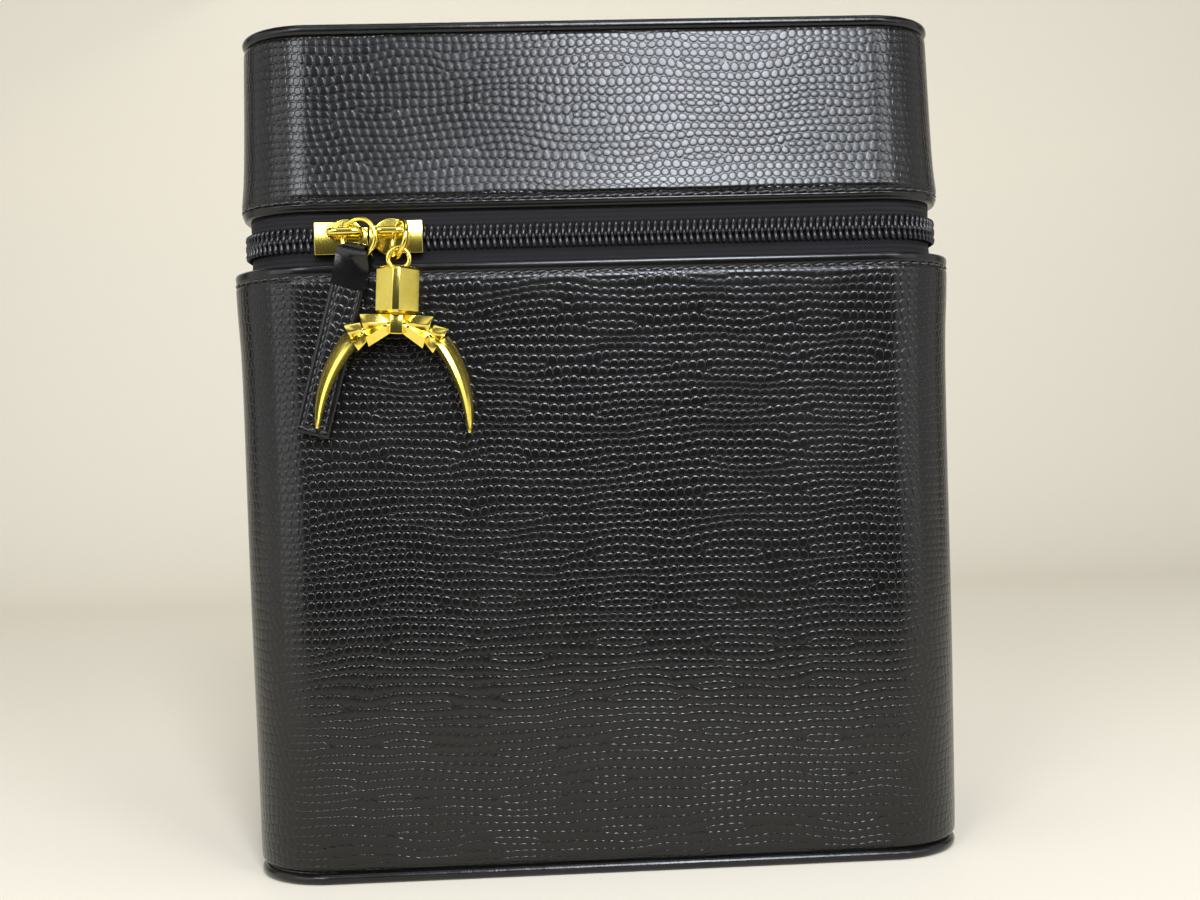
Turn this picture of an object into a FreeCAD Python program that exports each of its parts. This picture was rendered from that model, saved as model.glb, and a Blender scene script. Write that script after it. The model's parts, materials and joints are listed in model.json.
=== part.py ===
# Makeup train case: an upright leather-covered box with a zip-round lid, hinged at the back on a
# leather strip. Two zip sliders meet at the front left: one pulls by a leather strap, the other by
# a double-horn charm.
# Frame: +X to the right of someone facing the front, front face towards -Y, +Z up, origin at the
# middle of the base on the table. Millimetres and degrees.
import FreeCAD, Part
import math
import os
import Sketcher

V = FreeCAD.Vector
doc = FreeCAD.newDocument("MakeupTrainCase")

SIZES = [
    ("case_width", 165.0, "across the body's top edge"),
    ("case_depth", 114.0, "front to back at the body's top edge"),
    ("corner_radius", 19.5, "upright corners, at the body's top edge"),
    ("body_height", 136.2, "table to the body's top edge"),
    ("zip_gap", 12.0, "body's top edge to the lid's lower edge"),
    ("lid_height", 41.8, "lid's lower edge to the top of its piping"),
    ("rim_flare", 0.8, "turned top edge stands out from the wall"),
    ("rim_height", 18.0, "height over which the body flares to its edge"),
    ("base_taper", 1.6, "wall leans in towards the base, each side"),
    ("lid_flare", 0.8, "turned lower edge stands out from the lid's wall"),
    ("lid_flare_height", 10.0, "height over which the lid flares to its edge"),
    ("lid_taper", 0.9, "lid leans in towards the top, each side"),
    ("edge_bevel", 0.7, "softened corner of the turned edges"),
    ("cover_thickness", 0.8, "embossed leather"),
    ("body_board_thickness", 2.4, "stiff core of the body wall"),
    ("lid_board_thickness", 0.9, "stiff core of the lid wall"),
    ("lining_thickness", 1.6, "padded lining"),
    ("panel_cover_thickness", 1.0, "leather of the base and the top"),
    ("panel_board_thickness", 2.4, "stiff core of the base and the top"),
    ("panel_lining_thickness", 1.6, "padded lining of the base and the top"),
    ("panel_recess", 0.8, "top panel lies below the crest of its piping"),
    ("lining_setback", 1.5, "lining stops short of the turned edges"),
    ("piping_diameter", 2.6, "corded seam"),
    ("piping_proud", 0.2, "corded seam stands out from the wall"),
    ("layer_gap", 0.1, "glue line between layers that are not face to face"),
    ("tape_thickness", 0.6, "woven zip tape"),
    ("tape_seam", 9.2, "tape sewn in behind each turned edge"),
    ("tape_gap", 0.1, "tape to the board beside it"),
    ("coil_width", 2.5, "each half of the zip chain"),
    ("coil_thickness", 1.7, "chain in front of the tape"),
    ("coil_bevel", 0.55, "softened shoulders of the chain"),
    ("chain_gap", 1.0, "channel between the halves, where the coil heads mesh"),
    ("hinge_width", 96.0, "leather strip between the zip's two ends"),
    ("hinge_seam", 15.0, "strip sewn in above and below the fold line"),
    ("mirror_margin", 7.0, "lid lining to the mirror frame"),
    ("mirror_border", 8.0, "width of the mirror frame"),
    ("mirror_lip", 2.0, "frame laps over the mirror's edge"),
    ("mirror_thickness", 2.0, "mirror glass"),
    ("mirror_lip_thickness", 1.0, "frame below the mirror"),
    ("mirror_radius", 6.0, "corners of the mirror"),
    ("slider_length", 11.6, "along the chain"),
    ("slider_shoulder", 0.55, "domed shoulders stand past the square outer end"),
    ("slider_nose_height", 4.4, "across the inner end"),
    ("slider_dome", 6.8, "outer end to the middle of the shoulders"),
    ("slider_plate", 1.0, "front and back plates"),
    ("slider_running_gap", 0.3, "plates to the chain and the tape"),
    ("slider_post_length", 2.6, "post that joins the two plates"),
    ("slider_post_gap", 0.1, "post to the chain on each side"),
    ("slider_lip", 0.45, "lower flange that holds the chain"),
    ("slider_corner_gap", 1.0, "strap slider to the start of the front's straight run"),
    ("slider_gap", 0.4, "between the two sliders"),
    ("bridge_start", 2.9, "slider's outer end to the bridge"),
    ("bridge_length", 8.0, "along the chain"),
    ("bridge_leg", 1.0, "width of each leg"),
    ("bridge_radius", 0.85, "round bar"),
    ("bridge_rise", 3.4, "plate to the middle of the bar"),
    ("bridge_above_chain", 1.0, "middle of the bar above the middle of the chain"),
    ("ring_radius", 4.1, "middle of the wire"),
    ("ring_wire", 1.0, "wire diameter"),
    ("ring_gap", 0.2, "wire to the bar that it hangs on"),
    ("eye_gap", 0.3, "charm's ring to the eye's wire"),
    ("strap_ring_offset", 3.3, "ring's middle from the bridge's inner end, along the chain"),
    ("strap_ring_rise", 2.6, "top of the strap's ring above the bar"),
    ("strap_ring_yaw", 65.0, "strap's ring turned from edge-on"),
    ("charm_ring_offset", 6.1, "ring's middle from the bridge's inner end, along the chain"),
    ("charm_ring_yaw", 27.0, "charm's ring turned from edge-on"),
    ("charm_ring_lean", 27.8, "charm's ring leans out, so the charm clears the case"),
    ("strap_tilt", 15.3, "strap hangs to the left of plumb"),
    ("strap_width", 7.4, "tongue"),
    ("strap_length", 40.0, "ring to the tongue's end"),
    ("strap_thickness", 1.5, "two plies of leather"),
    ("strap_end_round", 0.8, "corners of the tongue's end"),
    ("loop_ply", 0.5, "leather of the loop"),
    ("loop_hole", 1.9, "radius of the eye that the ring passes through"),
    ("loop_offset", 0.4, "middle of that eye above the ring's wire"),
    ("loop_length", 7.0, "ring to the loop's lower edge"),
    ("loop_width", 8.2, "lower edge"),
    ("loop_top_width", 3.4, "at the ring"),
    ("loop_slack", 0.05, "loop to the tongue between its plies"),
    ("charm_tilt", 3.4, "charm leans to the left of plumb"),
    ("eye_radius", 2.3, "middle of the eye's wire"),
    ("eye_sink", 0.9, "eye let into the cap"),
    ("cap_width", 9.2, "across the cap's narrow faces"),
    ("cap_facet", 1.5, "narrow faces at the cap's front, back and sides"),
    ("cap_height", 10.1, "cap"),
    ("cap_bevel", 0.6, "cap's foot and shoulder"),
    ("yoke_width", 2.9, "neck below the cap"),
    ("yoke_height", 4.4, "cap's foot to the neck's foot"),
    ("yoke_depth", 3.6, "front to back"),
    ("collar_flare", 7.2, "inner collar, at its wide end"),
    ("collar_length", 5.6, "inner collar"),
    ("collar_slope", 17.0, "inner collar falls away from the neck"),
    ("tip_collar_width", 4.0, "outer collar, at its narrow end"),
    ("tip_collar_flare", 6.2, "outer collar, at its wide end"),
    ("tip_collar_length", 3.3, "outer collar"),
    ("tip_collar_slope", 32.0, "outer collar falls away from the neck"),
    ("collar_depth_ratio", 0.62, "collars front to back, as a share of their width"),
    ("collar_side_ratio", 0.55, "edges of a collar front to back, as a share of its depth"),
    ("fold_width_ratio", 0.42, "ridges of a collar's fold at its wide end, as a share of its width"),
    ("fold_depth_ratio", 0.35, "valley of a collar's fold at its wide end, as a share of its depth"),
    ("fold_root_ratio", 0.15, "ridges of a collar's fold at its narrow end, as a share of its width"),
    ("horn_root", 3.9, "width of the horn where it leaves the collar"),
    ("horn_tip", 0.9, "width of the horn's end"),
    ("horn_bend", 31.7, "radius of the horn's curve"),
    ("horn_sweep", 38.0, "angle of the horn's curve"),
]

sheet = doc.addObject("Spreadsheet::Sheet", "Sizes")
for row, (alias, number, note) in enumerate(SIZES, start=1):
    sheet.set("A%d" % row, note)
    sheet.set("B%d" % row, str(number))
    sheet.setAlias("B%d" % row, alias)
doc.recompute()


def tied(formula):
    """Write a formula of plain size names as an expression on the sheet."""
    words = formula.replace("(", " ( ").replace(")", " ) ").split()
    names = {alias for alias, number, note in SIZES}
    spaced = " ".join("Sizes." + word if word in names else word for word in words)
    return spaced.replace("sqrt (", "sqrt(").replace("tan (", "tan(")


def size(formula):
    return float(sheet.evalExpression(tied(formula)))


# Insets of the layers, measured in from the body's top edge on all four sides.
WALL = "( rim_flare )"
WALL_FOOT = "( rim_flare + base_taper )"
BOARD = "( rim_flare + cover_thickness )"
BOARD_FOOT = "( rim_flare + base_taper + cover_thickness )"
BOARD_IN = "( rim_flare + cover_thickness + body_board_thickness )"
BOARD_IN_FOOT = "( rim_flare + base_taper + cover_thickness + body_board_thickness )"
TAPE = BOARD_IN[:-1] + "+ 2 * tape_gap )"
TAPE_IN = TAPE[:-1] + "+ tape_thickness )"
COIL = TAPE[:-1] + "- coil_thickness )"
LID_BOARD_IN = TAPE[:-1] + "- tape_gap )"
LID_BOARD = LID_BOARD_IN[:-1] + "- lid_board_thickness )"
LID_WALL = LID_BOARD[:-1] + "- cover_thickness )"
LID_EDGE = LID_WALL[:-1] + "- lid_flare )"
LID_LINING_IN = LID_BOARD_IN[:-1] + "+ layer_gap + lining_thickness )"
BASE_PIPING = WALL_FOOT[:-1] + "+ piping_diameter / 2 - piping_proud )"
TOP_PIPING = LID_WALL[:-1] + "+ lid_taper + piping_diameter / 2 - piping_proud )"

# Heights of the layers above the table.
ZIP_Z = "( body_height + zip_gap / 2 )"
LID_Z = "( body_height + zip_gap )"
TOP_Z = "( body_height + zip_gap + lid_height )"
FOOT_Z = "( piping_diameter + layer_gap / 2 )"
RIM_Z = "( body_height - rim_height )"
LID_RIM_Z = "( body_height + zip_gap + lid_flare_height )"
LID_WALL_TOP = TOP_Z[:-1] + "- piping_diameter - layer_gap / 2 )"
BASE_LINING_TOP = "( panel_cover_thickness + panel_board_thickness + panel_lining_thickness )"
TOP_BOARD_TOP = TOP_Z[:-1] + "- panel_recess - panel_cover_thickness )"
TOP_LINING_TOP = TOP_BOARD_TOP[:-1] + "- panel_board_thickness )"
TOP_LINING_FOOT = TOP_LINING_TOP[:-1] + "- panel_lining_thickness )"
TAPE_FOOT = "( body_height - tape_seam )"
TAPE_TOP = LID_Z[:-1] + "+ tape_seam )"
LOWER_CHAIN = ZIP_Z[:-1] + "- chain_gap / 2 )"
UPPER_CHAIN = ZIP_Z[:-1] + "+ chain_gap / 2 )"


def new_body(name):
    body = doc.addObject("PartDesign::Body", name)
    body.Label = name
    return body


def datum(body, role):
    return next(item for item in body.Origin.OriginFeatures if item.Role == role)


def new_sketch(body, name, role, lift):
    """Sketch on one of the body's own origin planes, lifted along the plane's normal."""
    sketch = body.newObject("Sketcher::SketchObject", name)
    sketch.AttachmentSupport = (datum(body, role), [""])
    sketch.MapMode = "FlatFace"
    sketch.AttachmentOffset = FreeCAD.Placement(V(0, 0, size(lift)), FreeCAD.Rotation())
    sketch.setExpression("AttachmentOffset.Base.z", tied(lift))
    return sketch


def hold(sketch, constraint, name, formula):
    """Add a dimension and tie it to the sheet."""
    index = sketch.addConstraint(constraint)
    sketch.renameConstraint(index, name)
    sketch.setExpression("Constraints." + name, tied(formula))


def rounded_rectangle(sketch, tag, width, depth, radius):
    """Centred rectangle with round corners, driven by three formulas."""
    half_x, half_y, r = size(width) / 2, size(depth) / 2, size(radius)
    x, y = half_x - r, half_y - r
    quarter = math.pi / 2
    middles = [V(x, -y), V(x, y), V(-x, y), V(-x, -y)]
    ends = [(V(-x, -half_y), V(x, -half_y)), (V(half_x, -y), V(half_x, y)),
            (V(x, half_y), V(-x, half_y)), (V(-half_x, y), V(-half_x, -y))]
    first = sketch.GeometryCount
    for side in range(4):
        sketch.addGeometry(Part.LineSegment(*ends[side]))
        circle = Part.Circle(middles[side], V(0, 0, 1), r)
        sketch.addGeometry(Part.ArcOfCircle(circle, (side - 1) * quarter, side * quarter))
    for step in range(8):
        following = first + (step + 1) % 8
        sketch.addConstraint(Sketcher.Constraint("Tangent", first + step, 2, following, 1))
    for side, way in enumerate(["Horizontal", "Vertical", "Horizontal", "Vertical"]):
        sketch.addConstraint(Sketcher.Constraint(way, first + 2 * side))
    for corner in (3, 5, 7):
        sketch.addConstraint(Sketcher.Constraint("Equal", first + 1, first + corner))
    sketch.addConstraint(Sketcher.Constraint("Symmetric", first, 1, first + 4, 1, -1, 1))
    across = Sketcher.Constraint("DistanceX", first + 6, 1, first + 2, 1, 2 * half_x)
    deep = Sketcher.Constraint("DistanceY", first, 1, first + 4, 1, 2 * half_y)
    hold(sketch, across, "width" + tag, width)
    hold(sketch, deep, "depth" + tag, depth)
    hold(sketch, Sketcher.Constraint("Radius", first + 1, r), "radius" + tag, radius)


def section(sketch, tag, inset):
    """Plan of the case, moved in on all sides."""
    rounded_rectangle(sketch, tag, "case_width - 2 * " + inset, "case_depth - 2 * " + inset,
                      "corner_radius - " + inset)


def outline(sketch, tag, corners):
    """Closed outline. A corner is (x, y) formulas, or (x, y, radius) where an arc starts that
    turns left round its middle."""
    points = [V(size(corner[0]), size(corner[1])) for corner in corners]
    first = sketch.GeometryCount
    for step, corner in enumerate(corners):
        start, end = points[step], points[(step + 1) % len(points)]
        if len(corner) == 2:
            sketch.addGeometry(Part.LineSegment(start, end))
            continue
        chord = end - start
        r = size(corner[2])
        side = V(-chord.y, chord.x).normalize()
        middle = (start + end) / 2 + side * math.sqrt(r * r - chord.Length ** 2 / 4)
        turn = [math.atan2(point.y - middle.y, point.x - middle.x) for point in (start, end)]
        sketch.addGeometry(Part.ArcOfCircle(Part.Circle(middle, V(0, 0, 1), r), *turn))
    for step, corner in enumerate(corners):
        following = first + (step + 1) % len(corners)
        sketch.addConstraint(Sketcher.Constraint("Coincident", first + step, 2, following, 1))
        here = points[step]
        name = "%s%d" % (tag, step)
        hold(sketch, Sketcher.Constraint("DistanceX", first + step, 1, here.x), "x" + name, corner[0])
        hold(sketch, Sketcher.Constraint("DistanceY", first + step, 1, here.y), "y" + name, corner[1])
        if len(corner) == 3:
            bend = Sketcher.Constraint("Radius", first + step, size(corner[2]))
            hold(sketch, bend, "r" + name, corner[2])


def octagon(sketch, x, y, half, edge):
    """Eight-sided outline about (x, y): half is half its width, edge half of its upright sides."""
    near = [(edge, "- " + half), (half, "- " + edge), (half, edge), (edge, half)]
    far = [("- " + edge, half), ("- " + half, edge), ("- " + half, "- " + edge), ("- " + edge, "- " + half)]
    outline(sketch, "Facet", [(x + " + ( " + across + " )", y + " + ( " + up + " )")
                              for across, up in near + far])


def wire_section(sketch, x, y, diameter):
    """Regular eight-sided section of a wire or cord."""
    half = "( " + diameter + " / 2 )"
    octagon(sketch, x, y, half, half + " * tan ( 22.5 )")


def round_hole(sketch, tag, x, y, radius):
    circle = sketch.addGeometry(Part.Circle(V(size(x), size(y)), V(0, 0, 1), size(radius)))
    hold(sketch, Sketcher.Constraint("DistanceX", circle, 3, size(x)), "x" + tag, x)
    hold(sketch, Sketcher.Constraint("DistanceY", circle, 3, size(y)), "y" + tag, y)
    hold(sketch, Sketcher.Constraint("Radius", circle, size(radius)), "r" + tag, radius)


def loft(body, kind, name, levels):
    """Straight-sided loft of plan sections, given as (height, inset) formulas."""
    sketches = []
    for number, (height, inset) in enumerate(levels):
        sketch = new_sketch(body, "%sLevel%d" % (name, number), "XY_Plane", height)
        section(sketch, "Plan", inset)
        sketches.append(sketch)
    feature = body.newObject("PartDesign::%sLoft" % kind, name)
    feature.Profile = sketches[0]
    feature.Sections = sketches[1:]
    feature.Ruled = True
    doc.recompute()
    return feature


def pad(body, sketch, name, length, midplane=False):
    feature = body.newObject("PartDesign::Pad", name)
    feature.Profile = sketch
    feature.Length = size(length)
    feature.setExpression("Length", tied(length))
    feature.Midplane = midplane
    doc.recompute()
    return feature


def pocket(body, sketch, name, length, midplane=False):
    """Cut from the sketch against its normal, and make sure that it took something away."""
    before = body.Shape.Volume
    feature = body.newObject("PartDesign::Pocket", name)
    feature.Profile = sketch
    feature.Length = size(length)
    feature.setExpression("Length", tied(length))
    feature.Midplane = midplane
    doc.recompute()
    if body.Shape.Volume >= before:
        raise RuntimeError(body.Label + ": " + name + " cuts nothing")
    return feature


def bevel_edges(body, name, width, chosen):
    """Chamfer the edges of the body's last feature that a test picks out."""
    base = body.Tip
    edges = ["Edge%d" % (n + 1) for n, edge in enumerate(base.Shape.Edges) if chosen(edge)]
    feature = body.newObject("PartDesign::Chamfer", name)
    feature.Base = (base, edges)
    feature.Size = size(width)
    feature.setExpression("Size", tied(width))
    doc.recompute()


def level_edges_outside(height, inset):
    """Picks edges that lie at one height, with both ends on or outside one inset of the plan."""
    nearly = 0.01
    z = size(height)
    wide, deep = (size(across + " / 2 - " + inset) - nearly for across in ("case_width", "case_depth"))

    def chosen(edge):
        return all(abs(end.Z - z) < nearly and (abs(end.X) > wide or abs(end.Y) > deep)
                   for end in edge.Vertexes)

    return chosen


def flat_panel(name, foot, thickness, inset):
    body = new_body(name)
    sketch = new_sketch(body, name + "Plan", "XY_Plane", foot)
    section(sketch, "Plan", inset)
    pad(body, sketch, name + "Pad", thickness)
    return body


def upright_band(name, foot, height, outer, inner):
    """Band of constant plan that runs round the case."""
    body = new_body(name)
    sketch = new_sketch(body, name + "Plan", "XY_Plane", foot)
    section(sketch, "Outer", outer)
    section(sketch, "Inner", inner)
    pad(body, sketch, name + "Pad", height)
    return body


def open_at_hinge(body):
    """Leave the back open between the zip's two ends."""
    sketch = new_sketch(body, body.Label + "Gap", "XZ_Plane", "- case_depth / 2")
    reach = "( hinge_width / 2 )"
    outline(sketch, "Gap", [("- " + reach, "0"), (reach, "0"), (reach, TOP_Z), ("- " + reach, TOP_Z)])
    pocket(body, sketch, body.Label + "Opening", "2 * corner_radius", midplane=True)


def piping(name, height, inset):
    """Cord sewn into the seam: its section swept along the plan."""
    body = new_body(name)
    path = new_sketch(body, name + "Path", "XY_Plane", height)
    section(path, "Path", inset)
    cord = new_sketch(body, name + "Cord", "YZ_Plane", "corner_radius - case_width / 2")
    wire_section(cord, "- ( case_depth / 2 - " + inset + " )", height, "piping_diameter")
    feature = body.newObject("PartDesign::AdditivePipe", name + "Pipe")
    feature.Profile = cord
    feature.Spine = path
    doc.recompute()
    return body


def base():
    """Leather underside, stiff board and padded floor, with piping in the seam round them."""
    piping("base_piping", "piping_diameter / 2", BASE_PIPING)
    inside = BASE_PIPING[:-1] + "+ piping_diameter / 2 + layer_gap )"
    flat_panel("base_cover", "0", "panel_cover_thickness", inside)
    within_wall = BOARD_IN_FOOT[:-1] + "+ layer_gap )"
    flat_panel("base_board", "panel_cover_thickness", "panel_board_thickness", within_wall)
    flat_panel("base_lining", "panel_cover_thickness + panel_board_thickness",
               "panel_lining_thickness", within_wall)


def body_wall():
    """Leather wall turned over the top of its board, and the padded lining inside it."""
    board_top = "( body_height - cover_thickness )"
    cover = new_body("body_cover")
    loft(cover, "Additive", "CoverOutside",
         [(FOOT_Z, WALL_FOOT), (RIM_Z, WALL), ("body_height", "0")])
    loft(cover, "Subtractive", "CoverInside", [(FOOT_Z, BOARD_FOOT), (RIM_Z, BOARD), (board_top, BOARD)])
    loft(cover, "Subtractive", "CoverMouth", [(board_top, BOARD_IN), ("body_height", BOARD_IN)])
    bevel_edges(cover, "TurnedEdge", "edge_bevel", level_edges_outside("body_height", "0"))

    board = new_body("body_board")
    loft(board, "Additive", "BoardOutside", [(FOOT_Z, BOARD_FOOT), (RIM_Z, BOARD), (board_top, BOARD)])
    loft(board, "Subtractive", "BoardInside",
         [(FOOT_Z, BOARD_IN_FOOT), (RIM_Z, BOARD_IN), (board_top, BOARD_IN)])

    lining = new_body("body_lining")
    shoulder = TAPE_FOOT[:-1] + "- layer_gap )"
    lining_top = "( body_height - lining_setback )"
    skin, skin_foot = "layer_gap )", BOARD_IN_FOOT[:-1]
    inner = BOARD_IN[:-1] + "+ layer_gap + lining_thickness )"
    loft(lining, "Additive", "LiningOutside",
         [(BASE_LINING_TOP, skin_foot + "+ " + skin), (RIM_Z, BOARD_IN[:-1] + "+ " + skin),
          (shoulder, BOARD_IN[:-1] + "+ " + skin)])
    step = new_sketch(lining, "LiningStep", "XY_Plane", shoulder)
    section(step, "Step", TAPE_IN[:-1] + "+ layer_gap )")
    pad(lining, step, "LiningBehindTape", lining_top + " - " + shoulder)
    loft(lining, "Subtractive", "LiningInside",
         [(BASE_LINING_TOP, skin_foot + "+ lining_thickness + " + skin), (RIM_Z, inner),
          (lining_top, inner)])


def lid_wall():
    """The lid's leather wall, turned under at its lower edge, with its board and lining."""
    board_foot = LID_Z[:-1] + "+ cover_thickness )"
    tapered = [formula[:-1] + "+ lid_taper )" for formula in (LID_WALL, LID_BOARD, LID_BOARD_IN)]
    cover = new_body("lid_cover")
    loft(cover, "Additive", "LidOutside",
         [(LID_Z, LID_EDGE), (LID_RIM_Z, LID_WALL), (LID_WALL_TOP, tapered[0])])
    loft(cover, "Subtractive", "LidInside",
         [(board_foot, LID_BOARD), (LID_RIM_Z, LID_BOARD), (LID_WALL_TOP, tapered[1])])
    loft(cover, "Subtractive", "LidMouth", [(LID_Z, LID_BOARD_IN), (board_foot, LID_BOARD_IN)])
    bevel_edges(cover, "TurnedLidEdge", "edge_bevel", level_edges_outside(LID_Z, LID_EDGE))

    board = new_body("lid_board")
    loft(board, "Additive", "LidBoardOutside",
         [(board_foot, LID_BOARD), (LID_RIM_Z, LID_BOARD), (LID_WALL_TOP, tapered[1])])
    loft(board, "Subtractive", "LidBoardInside",
         [(board_foot, LID_BOARD_IN), (LID_RIM_Z, LID_BOARD_IN), (LID_WALL_TOP, tapered[2])])

    lining = new_body("lid_lining")
    shoulder = TAPE_TOP[:-1] + "+ layer_gap )"
    lining_foot = LID_Z[:-1] + "+ lining_setback )"
    skin = LID_BOARD_IN[:-1] + "+ layer_gap )"
    step = new_sketch(lining, "LidLiningStep", "XY_Plane", lining_foot)
    section(step, "Step", TAPE_IN[:-1] + "+ layer_gap )")
    pad(lining, step, "LidLiningBehindTape", shoulder + " - " + lining_foot)
    loft(lining, "Additive", "LidLiningOutside",
         [(shoulder, skin), (LID_RIM_Z, skin), (TOP_LINING_FOOT, skin[:-1] + "+ lid_taper )")])
    loft(lining, "Subtractive", "LidLiningInside",
         [(lining_foot, LID_LINING_IN), (LID_RIM_Z, LID_LINING_IN),
          (TOP_LINING_FOOT, LID_LINING_IN[:-1] + "+ lid_taper )")])


def lid_top():
    """Leather top panel on a stiff board, with piping in the seam and a lined underside."""
    piping("lid_piping", TOP_Z[:-1] + "- piping_diameter / 2 )", TOP_PIPING)
    inside = TOP_PIPING[:-1] + "+ piping_diameter / 2 + layer_gap )"
    flat_panel("lid_top_cover", TOP_BOARD_TOP, "panel_cover_thickness", inside)
    flat_panel("lid_top_board", TOP_LINING_TOP, "panel_board_thickness", inside)
    within_wall = LID_BOARD_IN[:-1] + "+ lid_taper + layer_gap )"
    flat_panel("lid_top_lining", TOP_LINING_FOOT, "panel_lining_thickness", within_wall)


def mirror_plan(sketch, tag, margin, radius):
    clear = " - 2 * " + LID_LINING_IN[:-1] + "+ lid_taper + " + margin + " )"
    rounded_rectangle(sketch, tag, "case_width" + clear, "case_depth" + clear, radius)


def lid_mirror():
    """Mirror glass held up against the lid's lining by a wrapped frame."""
    glass_edge = "mirror_margin + mirror_border - mirror_lip"
    mirror = new_body("mirror")
    glass_foot = TOP_LINING_FOOT[:-1] + "- mirror_thickness )"
    plan = new_sketch(mirror, "MirrorPlan", "XY_Plane", glass_foot)
    mirror_plan(plan, "Plan", glass_edge, "mirror_radius")
    pad(mirror, plan, "MirrorPad", "mirror_thickness")

    frame = new_body("mirror_frame")
    frame_foot = glass_foot[:-1] + "- mirror_lip_thickness )"
    plan = new_sketch(frame, "FramePlan", "XY_Plane", frame_foot)
    mirror_plan(plan, "Outer", "mirror_margin", "mirror_radius + mirror_border")
    mirror_plan(plan, "Inner", "mirror_margin + mirror_border", "mirror_radius - mirror_lip")
    pad(frame, plan, "FramePad", "mirror_thickness + mirror_lip_thickness")
    seat = new_sketch(frame, "FrameSeat", "XY_Plane", TOP_LINING_FOOT)
    mirror_plan(seat, "Seat", glass_edge + " - layer_gap", "mirror_radius + layer_gap")
    pocket(frame, seat, "FrameRebate", "mirror_thickness")


def zip_chain():
    """Woven tapes sewn behind the two turned edges, each with its half of the coil."""
    upper_tape = TAPE_TOP + " - " + UPPER_CHAIN
    tapes = [upright_band("body_zip_tape", TAPE_FOOT, LOWER_CHAIN + " - " + TAPE_FOOT, TAPE, TAPE_IN),
             upright_band("lid_zip_tape", UPPER_CHAIN, upper_tape, TAPE, TAPE_IN)]
    lower_foot = LOWER_CHAIN[:-1] + "- coil_width )"
    coils = [upright_band("body_zip_coil", lower_foot, "coil_width", COIL, TAPE),
             upright_band("lid_zip_coil", UPPER_CHAIN, "coil_width", COIL, TAPE)]
    for band in tapes + coils:
        open_at_hinge(band)
    for coil, foot in zip(coils, (lower_foot, UPPER_CHAIN)):
        crest = foot[:-1] + "+ coil_width )"
        shoulders = [level_edges_outside(height, COIL) for height in (foot, crest)]
        bevel_edges(coil, coil.Label + "Shoulder", "coil_bevel",
                    lambda edge: any(test(edge) for test in shoulders))


def hinge_strip():
    """Leather gusset sewn in behind both edges across the back, where the zip stops."""
    body = new_body("hinge_strip")
    sketch = new_sketch(body, "HingePlan", "XZ_Plane", "- ( case_depth / 2 - " + TAPE_IN + " )")
    reach = "( hinge_width / 2 - layer_gap )"
    low, high = ZIP_Z[:-1] + "- hinge_seam )", ZIP_Z[:-1] + "+ hinge_seam )"
    outline(sketch, "Strip", [("- " + reach, low), (reach, low), (reach, high), ("- " + reach, high)])
    strip = pad(body, sketch, "HingePad", "tape_thickness")
    strip.Reversed = True


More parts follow.
